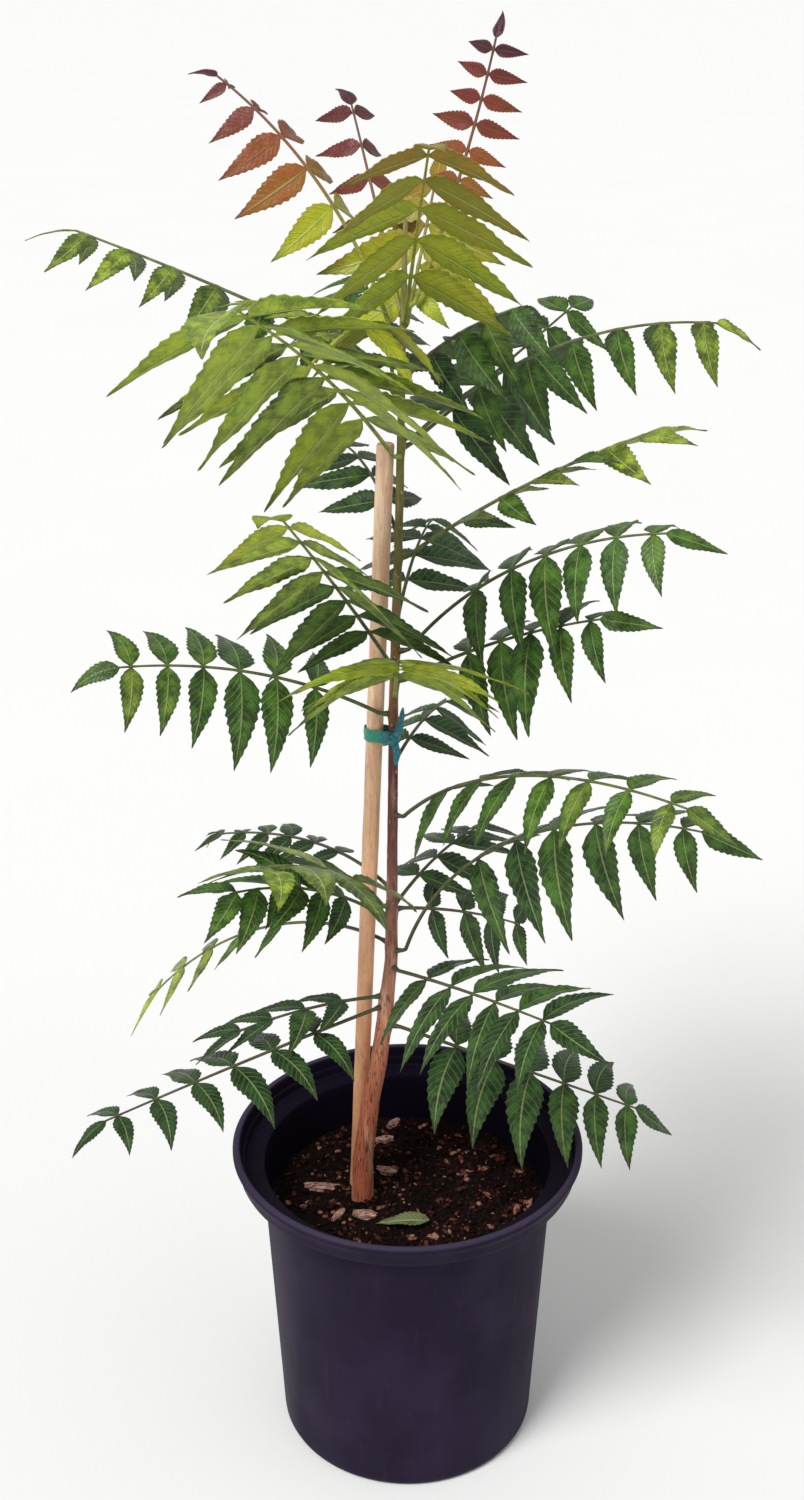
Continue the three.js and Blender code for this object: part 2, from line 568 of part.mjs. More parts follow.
// Fronds: all stalks first, then each leaflet in the first swing that is clear of what is there
function frondSolids() {
  const stalks = FRONDS.map((frond, number) => {
    const points = stalkPoints(frond);
    const plan = leafletPlan(frond, number);
    const { shell, rings } = stalkShell(frond, points, stalkShares(frond, plan));
    closeStalk(shell, rings, new Set());
    const stalk = shell.solid();
    place(stalk, frond, 'stalk');
    return { points, plan, stalk };
  });
  return FRONDS.map((frond, number) => {
    const { points, plan, stalk } = stalks[number];
    const { shell, rings } = stalkShell(frond, points, stalkShares(frond, plan));
    const open = new Set();
    for (const leaflet of plan) {
      const i = 2 + leaflet.pair * 2;
      const root = leaflet.hand === 0
        ? rootCorners(0, rings.at(-1))
        : rootCorners(leaflet.hand, rings[i], rings[i + 1]);
      const corner = (k) => new THREE.Vector3().fromArray(shell.position, k * 3);
      for (const swing of SWINGS) {
        const blade = bladeRings(midrib(frond, points, leaflet, swing));
        const solid = bladeSolid(root.map(corner), blade);
        const { rings: [first, ...others], tip } = blade;
        const gap = bladeSolid(first, { rings: others, tip }).minGap(stalk, STALK_CLEARANCE);
        if (gap > STALK_CLEARANCE * 0.8 && isClear(solid, frond, leaflet.pair)) {
          place(solid, frond, leaflet.pair);
          shell.blade(root, blade);
          open.add(leaflet.hand === 0 ? 'end' : `${i} ${leaflet.hand}`);
          break;
        }
      }
    }
    closeStalk(shell, rings, open);
    return shell.solid();
  });
}

// Flat strip through points, with a half width at each, its broad face towards up
function stripSolid(points, halfWidths, up, thickness) {
  const shell = new Shell();
  const rings = points.map((point, i) => {
    const ahead = points[Math.min(i + 1, points.length - 1)];
    const behind = points[Math.max(i - 1, 0)];
    const right = new THREE.Vector3().subVectors(ahead, behind).cross(up).normalize();
    return shell.ring(STRIP_CORNERS.map(([side, high]) => (
      point.clone().addScaledVector(right, side * halfWidths[i]).addScaledVector(up, high * thickness / 2)
    )));
  });
  shell.rod(rings);
  return shell.solid();
}

// Tie: a loop of tape round both rods, a knot in front of the stem and two loose ends
function tieSolid() {
  const stem = stemAt(TIE_HEIGHT);
  const stake = stakeAt(TIE_HEIGHT);
  const heading = Math.atan2(stem.centre.y - stake.y, stem.centre.x - stake.x);
  const loop = (grow, height) => {
    const shape = new THREE.Shape();
    const stemReach = stem.radius + SEAT_GAP * 2 + grow;
    const stakeReach = STAKE_RADIUS + SEAT_GAP * 2 + grow;
    shape.absarc(stem.centre.x, stem.centre.y, stemReach, heading - Math.PI / 2, heading + Math.PI / 2);
    shape.absarc(stake.x, stake.y, stakeReach, heading + Math.PI / 2, heading + Math.PI * 1.5);
    const tape = new THREE.ExtrudeGeometry(shape, { depth: height, bevelEnabled: false, curveSegments: 5 });
    return solidFrom(tape.translate(0, 0, TIE_HEIGHT - height / 2));
  };
  const band = loop(TIE_THICKNESS, TIE_WIDTH).subtract(loop(0, TIE_WIDTH * 2));
  const front = [stem.centre.x, stem.centre.y - stem.radius - KNOT_RADIUS, TIE_HEIGHT];
  const knot = new THREE.IcosahedronGeometry(KNOT_RADIUS, 1);
  knot.scale(1, 0.75, 1);
  knot.translate(...front);
  const tails = TIE_TAILS.map((tail) => {
    const points = tail.map((point) => new THREE.Vector3(...point).add(new THREE.Vector3(...front)));
    return stripSolid(points, TAIL_HALF_WIDTHS, new THREE.Vector3(0, -1, 0), TIE_THICKNESS);
  });
  return Manifold.union([band, solidFrom(knot), ...tails]);
}

// Bark chips pressed into the soil: where, how long, wide and thick, and how far turned
const CHIPS = [
  { x: -59.5, y: 6, length: 32, width: 8, thickness: 4, turn: -8 },
  { x: -18, y: 70, length: 14, width: 6, thickness: 4, turn: 15 },
  { x: -11, y: 88, length: 12, width: 6, thickness: 4, turn: 50 },
  { x: -16, y: 28, length: 16, width: 7, thickness: 4, turn: -20 },
  { x: -50, y: -25, length: 13, width: 6, thickness: 4, turn: 60 },
  { x: -31, y: -26, length: 17, width: 8, thickness: 4, turn: -10 },
];

function chipSolid(chip, grow) {
  const size = [chip.length, chip.width, chip.thickness].map((value) => value + 2 * grow);
  const geometry = new THREE.BoxGeometry(...size, 2, 1, 1);
  const position = geometry.attributes.position;
  for (let i = 0; i < position.count; i += 1) {
    const isEnd = Math.abs(position.getX(i)) > chip.length / 4;
    position.setY(i, position.getY(i) * (isEnd ? 0.55 : 1));
  }
  geometry.rotateZ(degToRad(chip.turn));
  geometry.translate(chip.x, chip.y, soilHeightAt(chip.x, chip.y) + chip.thickness * 0.15);
  return solidFrom(geometry);
}

// Leaflet that dropped on the soil, arched between its two ends
const FALLEN = { x: -4, y: -36, length: 40, turn: 6, rise: 3.2, arch: 1.5 };
const FALLEN_HALF_WIDTHS = [1.5, 5.5, 6.5, 4.5, 1.2];

function fallenSolid() {
  const last = FALLEN_HALF_WIDTHS.length - 1;
  const points = FALLEN_HALF_WIDTHS.map((_, i) => {
    const share = i / last;
    const rise = FALLEN.arch * Math.sin(share * Math.PI);
    const point = new THREE.Vector3((share - 0.5) * FALLEN.length, 0, rise);
    point.applyAxisAngle(new THREE.Vector3(0, 0, 1), degToRad(FALLEN.turn));
    return point.add(new THREE.Vector3(FALLEN.x, FALLEN.y, SOIL_HEIGHT + FALLEN.rise));
  });
  return stripSolid(points, FALLEN_HALF_WIDTHS, new THREE.Vector3(0, 0, 1), BLADE_THICKNESS);
}

// Assembly
const purplePlastic = new THREE.MeshStandardMaterial({ color: 0x2c2438, roughness: 0.45, metalness: 0 });
const darkSoil = new THREE.MeshStandardMaterial({ color: 0x24160f, roughness: 0.95, metalness: 0 });
const redBark = new THREE.MeshStandardMaterial({ color: 0x7a4630, roughness: 0.8, metalness: 0 });
const paleCane = new THREE.MeshStandardMaterial({ color: 0xd9ad82, roughness: 0.6, metalness: 0 });
const tealTape = new THREE.MeshStandardMaterial({ color: 0x157a78, roughness: 0.4, metalness: 0 });
const paleBark = new THREE.MeshStandardMaterial({ color: 0xb08468, roughness: 0.9, metalness: 0 });
const deepLeaf = new THREE.MeshStandardMaterial({ color: 0x2f5a24, roughness: 0.5, metalness: 0 });
const greenLeaf = new THREE.MeshStandardMaterial({ color: 0x4f7a2a, roughness: 0.5, metalness: 0 });
const limeLeaf = new THREE.MeshStandardMaterial({ color: 0x8f9a1e, roughness: 0.5, metalness: 0 });
const bronzeLeaf = new THREE.MeshStandardMaterial({ color: 0x7a3a28, roughness: 0.5, metalness: 0 });

const neem = new THREE.Group();

function add(name, solid, material) {
  const mesh = new THREE.Mesh(geometryFrom(solid), material);
  mesh.name = name;
  neem.add(mesh);
}

// Leaves are bronze when they open, then lime, and deepen with age down the stem
function leafMaterial(frond) {
  if (frond.name.includes('young')) return bronzeLeaf;
  if (frond.height > LIME_FROM) return limeLeaf;
  return frond.height > DEEP_BELOW ? greenLeaf : deepLeaf;
}

const stem = stemSolid(0);
const stake = stakeSolid(0);
const tie = tieSolid();
const pot = potSolid();
const fallen = fallenSolid();
for (const solid of [stem, stake, tie, pot, fallen]) place(solid);
const holes = [stemSolid(SEAT_GAP), stakeSolid(SEAT_GAP)].map((hole) => hole.translate([0, 0, -SEAT_GAP]));
const dents = CHIPS.map((chip) => chipSolid(chip, SEAT_GAP));
const soil = Manifold.difference([soilSolid(), ...holes, ...dents]);

add('pot', pot, purplePlastic);
add('soil', soil, darkSoil);
add('stem', stem, redBark);
add('stake', stake, paleCane);
add('tie', tie, tealTape);
CHIPS.forEach((chip, i) => add(`bark_chip_${i + 1}`, chipSolid(chip, 0), paleBark));
add('fallen_leaflet', fallen, greenLeaf);
frondSolids().forEach((solid, i) => add(FRONDS[i].name, solid, leafMaterial(FRONDS[i])));

export default neem;
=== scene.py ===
# A young neem tree tied to a cane in a nursery pot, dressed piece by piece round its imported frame.
# Metres, +Z up, origin under the middle of the pot, the side that faces the viewer towards -Y.
import math

import bmesh
import bpy
from mathutils import Matrix, Vector, kdtree, noise


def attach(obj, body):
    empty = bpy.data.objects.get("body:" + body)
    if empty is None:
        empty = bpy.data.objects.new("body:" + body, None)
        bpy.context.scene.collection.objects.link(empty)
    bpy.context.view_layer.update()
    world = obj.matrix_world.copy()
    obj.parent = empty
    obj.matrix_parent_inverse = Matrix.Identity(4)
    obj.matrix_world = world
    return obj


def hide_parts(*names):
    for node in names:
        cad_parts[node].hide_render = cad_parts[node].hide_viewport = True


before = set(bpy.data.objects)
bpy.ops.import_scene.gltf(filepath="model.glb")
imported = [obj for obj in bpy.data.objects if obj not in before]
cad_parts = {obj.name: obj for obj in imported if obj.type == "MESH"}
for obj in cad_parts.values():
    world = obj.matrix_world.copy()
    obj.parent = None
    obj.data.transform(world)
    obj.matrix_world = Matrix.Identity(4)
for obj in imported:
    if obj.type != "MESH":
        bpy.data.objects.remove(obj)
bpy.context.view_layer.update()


# The pot is a nursery pot of three gallons, moulded in one go from dark aubergine polyethylene.
# Its lip is rolled outwards over a band that steps in to the tapering body, and the underside
# has a foot ring, a middle disc and four drain holes. Handling has left faint upright scuffs.
MM = 0.001
POT_SIDES = 160
POT_OUTLINE = [
    (0, 0), (29, 0), (30, 0.2), (33, 3), (77, 3), (79.5, 0.3), (81, 0), (88.5, 0), (91, 0.5),
    (93, 2), (94.2, 4.5), (94.6, 8), (96.1, 38), (97.7, 68), (99.3, 98), (100.9, 128),
    (102.5, 158), (104.1, 188), (105.4, 212), (106, 220), (107, 222.4), (109, 223.2),
    (120.5, 223.4), (122.4, 223.8), (123, 225), (123.3, 227), (124.1, 231), (125, 234.2),
    (126.3, 235.4), (127, 237), (127, 239), (126.2, 240.3), (124.6, 241), (122.8, 240.8),
    (121.6, 239.8), (120.8, 238), (120.3, 235), (119.8, 233.4), (118.4, 232.6), (117.8, 231.2),
    (117.2, 228), (115.8, 226.8), (106.4, 226), (104.4, 225), (103.4, 222.5), (102.9, 214),
    (102.1, 208), (101.6, 190), (96.5, 90), (92, 8), (91, 5.5), (0, 5.5),
]
DRAIN_HOLES = 4
DRAIN_HOLE_RADIUS = 6 * MM
DRAIN_RING_RADIUS = 56 * MM
DRILL_SIDES = 40
DRILL_LENGTH = 30 * MM
LIP_CREST = (124.6, 241)
AUBERGINE_DEEP = (0.015, 0.009, 0.024, 1)
AUBERGINE = (0.023, 0.014, 0.036, 1)
# Darker colour painted over the pot's inside as shade
INSIDE_PAINTED_SHADE = (0.007, 0.004, 0.012, 1)
SCUFF_GREY = (0.055, 0.042, 0.080, 1)
# Lighter colour painted along the top of the lip as a highlight
LIP_PAINTED_HIGHLIGHT = (0.090, 0.073, 0.120, 1)


def lay_mesh(name, points, faces):
    mesh = bpy.data.meshes.new(name)
    mesh.from_pydata([tuple(point) for point in points], [], faces)
    mesh.update()
    piece = bpy.data.objects.new(name, mesh)
    bpy.context.collection.objects.link(piece)
    return piece


def hand_over(piece, node, materials, crease):
    """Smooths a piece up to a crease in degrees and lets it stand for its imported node."""
    piece.data.shade_smooth()
    piece.data.set_sharp_from_angle(angle=math.radians(crease))
    for material in materials:
        piece.data.materials.append(material)
    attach(piece, "root")
    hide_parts(node)


def mark_points(piece, name, values):
    """Gives each point of a piece a value that its material can read."""
    marks = piece.data.attributes.new(name, "FLOAT", "POINT")
    marks.data.foreach_set("value", values)


def spokes(count):
    """Angles spaced evenly all the way round, each with its level direction as x and y."""
    angles = [2 * math.pi * i / count for i in range(count)]
    return [(angle, math.cos(angle), math.sin(angle)) for angle in angles]


def band(low, high, sides):
    """Faces between two rings of points, each ring told by the number of its first point."""
    pairs = [(i, (i + 1) % sides) for i in range(sides)]
    return [(low + i, low + after, high + after, high + i) for i, after in pairs]


def turned_body(name, outline, sides):
    """A body of revolution from radii and heights in millimetres that start and end on its axis."""
    points = [Vector((0, 0, outline[0][1])) * MM, Vector((0, 0, outline[-1][1])) * MM]
    for radius, height in outline[1:-1]:
        points.extend(Vector((radius * x, radius * y, height)) * MM for angle, x, y in spokes(sides))
    top = len(points) - sides
    faces = []
    for i in range(sides):
        after = (i + 1) % sides
        faces += [(0, 2 + after, 2 + i), (1, top + i, top + after)]
    for low in range(2, top, sides):
        faces += band(low, low + sides, sides)
    return lay_mesh(name, points, faces)


class Finish:
    """Adds shader nodes to one material or node group and joins them up."""

    def __init__(self, tree):
        self.tree = tree

    def node(self, kind, **settings):
        node = self.tree.nodes.new(kind)
        for key, value in settings.items():
            setattr(node, key, value)
        return node

    def feed(self, socket, value):
        if isinstance(value, bpy.types.NodeSocket):
            self.tree.links.new(value, socket)
        else:
            socket.default_value = value

    def math(self, operation, a, b=0.0):
        node = self.node("ShaderNodeMath", operation=operation)
        self.feed(node.inputs[0], a)
        self.feed(node.inputs[1], b)
        return node.outputs[0]

    def plus(self, a, b):
        return self.math("ADD", a, b)

    def minus(self, a, b):
        return self.math("SUBTRACT", a, b)

    def times(self, a, b):
        return self.math("MULTIPLY", a, b)

    def spread(self, value, low, high, to_low=0.0, to_high=1.0):
        node = self.node("ShaderNodeMapRange", interpolation_type="SMOOTHSTEP")
        for socket, item in zip(node.inputs, (value, low, high, to_low, to_high)):
            self.feed(socket, item)
        return node.outputs[0]

    def blend(self, amount, a, b, mode="MIX"):
        node = self.node("ShaderNodeMix", data_type="RGBA", blend_type=mode)
        self.feed(node.inputs[0], amount)
        self.feed(node.inputs[6], a)
        self.feed(node.inputs[7], b)
        return node.outputs[2]

    def stretch(self, place, factors):
        node = self.node("ShaderNodeVectorMath", operation="MULTIPLY")
        self.feed(node.inputs[0], place)
        self.feed(node.inputs[1], factors)
        return node.outputs[0]

    def noise(self, place, scale, detail=3.0, roughness=0.5):
        node = self.node("ShaderNodeTexNoise")
        for name, item in (("Vector", place), ("Scale", scale), ("Detail", detail)):
            self.feed(node.inputs[name], item)
        self.feed(node.inputs["Roughness"], roughness)
        return node.outputs[0]

    def ramp(self, value, stops):
        node = self.node("ShaderNodeValToRGB")
        elements = node.color_ramp.elements
        while len(elements) < len(stops):
            elements.new(0.5)
        for element, (position, colour) in zip(elements, stops):
            element.position = position
            element.color = colour
        self.feed(node.inputs[0], value)
        return node.outputs[0]

    def height_of(self, place):
        node = self.node("ShaderNodeSeparateXYZ")
        self.feed(node.inputs[0], place)
        return node.outputs[2]

    def attribute(self, name):
        return self.node("ShaderNodeAttribute", attribute_name=name).outputs["Fac"]

    def use(self, group, **values):
        node = self.node("ShaderNodeGroup", node_tree=group)
        for key, value in values.items():
            self.feed(node.inputs[key.capitalize()], value)
        return node.outputs


def new_group(name, inputs, outputs):
    """A node group with named sockets, and what its builder needs: the finish, inputs and outputs."""
    kinds = {"value": "NodeSocketFloat", "colour": "NodeSocketColor", "place": "NodeSocketVector"}
    group = bpy.data.node_groups.new(name, "ShaderNodeTree")
    for label, kind in inputs:
        group.interface.new_socket(label, in_out="INPUT", socket_type=kinds[kind])
    for label, kind in outputs:
        group.interface.new_socket(label, in_out="OUTPUT", socket_type=kinds[kind])
    finish = Finish(group)
    given = finish.node("NodeGroupInput").outputs
    result = finish.node("NodeGroupOutput").inputs
    return group, finish, given, result


def new_material(name):
    """A material with its finish, its shader and the place on the surface in metres."""
    material = bpy.data.materials.new(name)
    material.use_nodes = True
    finish = Finish(material.node_tree)
    shader = material.node_tree.nodes["Principled BSDF"]
    place = finish.node("ShaderNodeTexCoord").outputs["Object"]
    return material, finish, shader, place


def cover(finish, shader, colour, roughness):
    finish.feed(shader.inputs["Base Color"], colour)
    finish.feed(shader.inputs["Roughness"], roughness)


def press_relief(finish, shader, height, depth, strength=1.0):
    """Raises the finish by a height from 0 to 1, depth in metres at 1."""
    bump = finish.node("ShaderNodeBump")
    bump.inputs["Strength"].default_value = strength
    bump.inputs["Distance"].default_value = depth
    finish.feed(bump.inputs["Height"], height)
    finish.feed(shader.inputs["Normal"], bump.outputs[0])


# Marks that run up a surface: scuffs in plastic, furrows in bark, fibres in cane
upright_marks, finish, given, result = new_group(
    "Upright marks", [("Place", "place"), ("Fineness", "value")],
    [("Fine", "value"), ("Broad", "value")])
drawn_out = finish.stretch(given["Place"], (1.0, 1.0, 0.1))
finish.feed(result["Fine"], finish.noise(drawn_out, given["Fineness"], 4.0, 0.6))
broad_scale = finish.times(given["Fineness"], 0.2)
finish.feed(result["Broad"], finish.noise(drawn_out, broad_scale, 2.0))

pot_plastic, finish, shader, place = new_material("Aubergine polyethylene")
scuffs = finish.use(upright_marks, place=place, fineness=160.0)
skin = finish.blend(finish.spread(finish.noise(place, 16.0), 0.35, 0.65), AUBERGINE_DEEP, AUBERGINE)
skin = finish.blend(finish.spread(scuffs["Fine"], 0.58, 0.78, 0.0, 0.22), skin, SCUFF_GREY)
# Painted highlight: the top of the rolled lip is painted lighter, where light catches it
lip_highlight = finish.spread(finish.height_of(place), 0.2385, 0.2412, 0.0, 0.45)
skin = finish.blend(lip_highlight, skin, LIP_PAINTED_HIGHLIGHT)
# Painted shade: the inside of the pot is painted nearly black, as the shade that falls in it
skin = finish.blend(finish.attribute("inside"), skin, INSIDE_PAINTED_SHADE)
cover(finish, shader, skin, finish.spread(scuffs["Broad"], 0.3, 0.7, 0.48, 0.62))
shader.inputs["Specular IOR Level"].default_value = 0.06
press_relief(finish, shader, scuffs["Fine"], 0.0003, 0.25)

pot = turned_body("Nursery_pot", POT_OUTLINE, POT_SIDES)
# Points from the lip's crest inwards are marked as inside, to be painted darker as shade
crest_ring = POT_OUTLINE.index(LIP_CREST) - 1
outside_points = 2 + (crest_ring + 2) * POT_SIDES
mark_points(pot, "inside", [float(i >= outside_points) for i in range(len(pot.data.vertices))])
for hole in range(DRAIN_HOLES):
    angle = (hole + 0.5) * 2 * math.pi / DRAIN_HOLES
    centre = (DRAIN_RING_RADIUS * math.cos(angle), DRAIN_RING_RADIUS * math.sin(angle), 0)
    bpy.ops.mesh.primitive_cylinder_add(
        vertices=DRILL_SIDES, radius=DRAIN_HOLE_RADIUS, depth=DRILL_LENGTH, location=centre)
    drill = bpy.context.object
    cut = pot.modifiers.new("Drain hole", "BOOLEAN")
    cut.object = drill
    with bpy.context.temp_override(object=pot, active_object=pot, selected_objects=[pot]):
        bpy.ops.object.modifier_apply(modifier=cut.name)
    bpy.data.objects.remove(drill)
hand_over(pot, "pot", [pot_plastic], 35)


# The soil is a loose bark and peat mix, nearly black when damp, with red-brown crumbs on top.
# It fills the pot to five centimetres under the lip and rises a little round the stem.
SOIL_HEIGHT = 190
SOIL_FLOOR = 5.8
SOIL_EDGE = 101.1
SOIL_FLOOR_EDGE = 91.1
STEM_FOOT = (-33, -4)
SOIL_SPOKES = 220
SOIL_RINGS = 84
MOUND_HEIGHT = 3
MOUND_REACH = 30
LUMP_SIZE = 7.5
LUMP_HEIGHT = 2.4
GRAIN_SIZE = 3.2
GRAIN_HEIGHT = 0.7
CRUMBS = 1500
CRUMB_RADII = (0.6, 2.2)
CRUMB_STRETCHES = (1, 2.6)
CRUMB_FLATNESS = 0.7
CRUMB_TILT = 0.5
CRUMB_TONES = (0.15, 1)
DAMP_PEAT = (0.0022, 0.0013, 0.0011, 1)
BROWN_PEAT = (0.015, 0.0055, 0.0040, 1)
RED_CRUMB = (0.115, 0.034, 0.022, 1)
TAN_CRUMB = (0.36, 0.175, 0.115, 1)


def draw(seed):
    """A fraction that looks random and is the same on every run."""
    value = math.sin(seed * 12.9898) * 43758.5453
    return value - math.floor(value)


def between(low, high, share):
    return low + (high - low) * share


def soil_height(x, y):
    from_stem = (x - STEM_FOOT[0]) ** 2 + (y - STEM_FOOT[1]) ** 2
    mound = MOUND_HEIGHT * math.exp(-from_stem / MOUND_REACH ** 2)
    rough = 1.6 * math.sin(x * 0.11 + 1.3) * math.cos(y * 0.09) + 1.1 * math.sin(x * 0.21 - y * 0.17)
    return SOIL_HEIGHT + mound + rough


def crumbled_height(x, y):
    """Soil height with lumps a few millimetres across."""
    spots = noise.voronoi(Vector((x, y, 3)) / LUMP_SIZE)[0]
    lump = max(0.0, spots[1] - spots[0])
    grain = noise.noise(Vector((x, y, 9)) / GRAIN_SIZE)
    return soil_height(x, y) + LUMP_HEIGHT * lump - LUMP_HEIGHT / 2 + GRAIN_HEIGHT * grain


def shell(block):
    """Points and faces of a worked bmesh block, which is let go."""
    block.verts.index_update()
    points = [vertex.co.copy() for vertex in block.verts]
    faces = [[vertex.index for vertex in face.verts] for face in block.faces]
    block.free()
    return points, faces


soil_points = [Vector((0, 0, crumbled_height(0, 0))), Vector((0, 0, SOIL_FLOOR))]
for ring in range(1, SOIL_RINGS + 1):
    reach = SOIL_EDGE * ring / SOIL_RINGS
    for angle, x, y in spokes(SOIL_SPOKES):
        soil_points.append(Vector((reach * x, reach * y, crumbled_height(reach * x, reach * y))))
for angle, x, y in spokes(SOIL_SPOKES):
    soil_points.append(Vector((SOIL_FLOOR_EDGE * x, SOIL_FLOOR_EDGE * y, SOIL_FLOOR)))
soil_faces = []
for spoke in range(SOIL_SPOKES):
    after = (spoke + 1) % SOIL_SPOKES
    soil_faces.append((0, 2 + spoke, 2 + after))
    for ring in range(SOIL_RINGS):
        low = 2 + ring * SOIL_SPOKES
        high = low + SOIL_SPOKES
        soil_faces.append((low + spoke, high + spoke, high + after, low + after))
    last = 2 + SOIL_RINGS * SOIL_SPOKES
    soil_faces.append((1, last + after, last + spoke))
soil_tones = [draw(i * 0.37) * 0.3 for i in range(len(soil_points))]

ball = bmesh.new()
bmesh.ops.create_icosphere(ball, subdivisions=2, radius=1)
ball_points, ball_faces = shell(ball)
for crumb in range(CRUMBS):
    seed = crumb * 7.3
    reach = (SOIL_EDGE - 5) * math.sqrt(draw(seed))
    angle = 2 * math.pi * draw(seed + 1)
    x, y = reach * math.cos(angle), reach * math.sin(angle)
    size = between(*CRUMB_RADII, draw(seed + 2) ** 2.5)
    long = between(*CRUMB_STRETCHES, draw(seed + 3) ** 2)
    turn = Matrix.Rotation(2 * math.pi * draw(seed + 4), 3, "Z")
    turn = turn @ Matrix.Rotation(between(-CRUMB_TILT, CRUMB_TILT, draw(seed + 5)), 3, "Y")
    centre = Vector((x, y, soil_height(x, y) + size * 0.3))
    first = len(soil_points)
    tone = between(*CRUMB_TONES, draw(seed + 6) ** 1.8)
    for point in ball_points:
        rough = 1 + 0.35 * noise.noise(point * 1.3 + Vector((seed, 0, 0)))
        scaled = Vector((point.x * long, point.y, point.z * CRUMB_FLATNESS)) * size * rough
        soil_points.append(centre + turn @ scaled)
        soil_tones.append(tone)
    for face in ball_faces:
        soil_faces.append([first + i for i in face])

soil = lay_mesh("Bark_and_peat_mix", [point * MM for point in soil_points], soil_faces)
mark_points(soil, "tone", soil_tones)

soil_mix, finish, shader, place = new_material("Bark and peat mix")
grain = finish.noise(place, 420.0, 4.0, 0.65)
patches = finish.noise(place, 36.0, 2.0)
tone = finish.plus(finish.attribute("tone"), finish.spread(grain, 0.3, 0.7, -0.22, 0.22))
tone = finish.times(tone, finish.spread(patches, 0.35, 0.65, 0.55, 1.15))
earth = finish.ramp(tone, [
    (0.0, DAMP_PEAT), (0.3, BROWN_PEAT), (0.68, RED_CRUMB), (0.95, TAN_CRUMB)])
cover(finish, shader, earth, finish.spread(grain, 0.3, 0.7, 0.72, 0.95))
shader.inputs["Specular IOR Level"].default_value = 0.1
press_relief(finish, shader, grain, 0.0012)
hand_over(soil, "soil", [soil_mix], 50)


# Six chips of pine bark lie pressed into the soil: torn flakes, pinkish tan where they split.
# Each is a thick splinter with blunt broken ends, darker in its furrows.
BARK_CHIPS = [
    dict(x=-59.5, y=6, length=32, width=8, thickness=4, turn=-8),
    dict(x=-18, y=70, length=14, width=6, thickness=4, turn=15),
    dict(x=-11, y=88, length=12, width=6, thickness=4, turn=50),
    dict(x=-16, y=28, length=16, width=7, thickness=4, turn=-20),
    dict(x=-50, y=-25, length=13, width=6, thickness=4, turn=60),
    dict(x=-31, y=-26, length=17, width=8, thickness=4, turn=-10),
]
CHIP_CUTS = 9
CHIP_END = 0.55
CHIP_ROUNDING = 0.22
CHIP_SPLIT = 0.7
CHIP_PINK = (0.70, 0.42, 0.33, 1)
CHIP_BROWN = (0.12, 0.045, 0.03, 1)

chip_bark, finish, shader, place = new_material("Split pine bark")
furrows = finish.noise(finish.stretch(place, (0.35, 1.0, 1.0)), 900.0, 4.0, 0.6)
stains = finish.noise(place, 180.0, 2.0)
shade = finish.times(finish.spread(furrows, 0.38, 0.6), finish.spread(stains, 0.3, 0.6, 0.4, 1))
flake = finish.blend(shade, CHIP_BROWN, CHIP_PINK)
cover(finish, shader, flake, finish.spread(furrows, 0.3, 0.7, 0.95, 0.75))
press_relief(finish, shader, furrows, 0.0008)


def bark_chip(number, length, width, thickness, **place_on_soil):
    block = bmesh.new()
    bmesh.ops.create_cube(block, size=1)
    bmesh.ops.subdivide_edges(block, edges=block.edges[:], cuts=CHIP_CUTS, use_grid_fill=True)
    for vertex in block.verts:
        x, y, z = vertex.co
        along = abs(x) * 2
        narrow = between(1, CHIP_END, max(0, (along - 0.25) / 0.75))
        rounded = 1 - CHIP_ROUNDING * (abs(y) * 2) ** 3
        ragged = noise.noise(Vector((y * 5, z * 3, number * 7))) * 0.07 * along
        vertex.co = Vector(((x + ragged) * length, y * width * narrow, z * thickness * rounded))
        split = noise.noise(Vector((x * 3, y * 9, z * 4 + number * 5)))
        vertex.co += vertex.co.normalized() * split * CHIP_SPLIT
    turn = Matrix.Rotation(math.radians(place_on_soil["turn"]), 4, "Z")
    x, y = place_on_soil["x"], place_on_soil["y"]
    lift = Matrix.Translation((x, y, soil_height(x, y) + thickness * 0.15))
    bmesh.ops.transform(block, matrix=Matrix.Scale(MM, 4) @ lift @ turn, verts=block.verts[:])
    return lay_mesh(f"Bark_chip_{number}", *shell(block))


for number, chip in enumerate(BARK_CHIPS, start=1):
    hand_over(bark_chip(number, **chip), f"bark_chip_{number}", [chip_bark], 45)


# The stem is a single young shoot that leans in towards the cane and then runs straight up.
# Its bark is red-brown and cracked at the foot, purplish under the tie and green near the top,
# with pale pores all over and a swollen seat under each leaf stalk.
STEM = [
    (121, -33, -4, 6.5), (190, -33, -4, 8.2), (225, -32.5, -4, 7.4), (275, -26.5, -3, 6.5),
    (305, -21, -2, 6.2), (340, -16.5, -1, 5.6), (390, -11.5, 0, 4.5), (450, -10.8, 0, 3.7),
    (585, -9.5, 0, 3.1), (720, -5.5, 0, 2.6), (800, -4, 0, 2.2), (850, -3, 0, 1.9),
    (892, -2, 0, 1.4),
]
STEM_SIDES = 28
STEM_RING_GAP = 3
BUD_FOOT = 888
BUD_LENGTH = 4
BUD_RINGS = [887, 889, 890.5, 891.5, 892]
SEAT_DROP = 1.5
SEAT_LENGTH = 4.5
SEAT_SWELL = 0.95
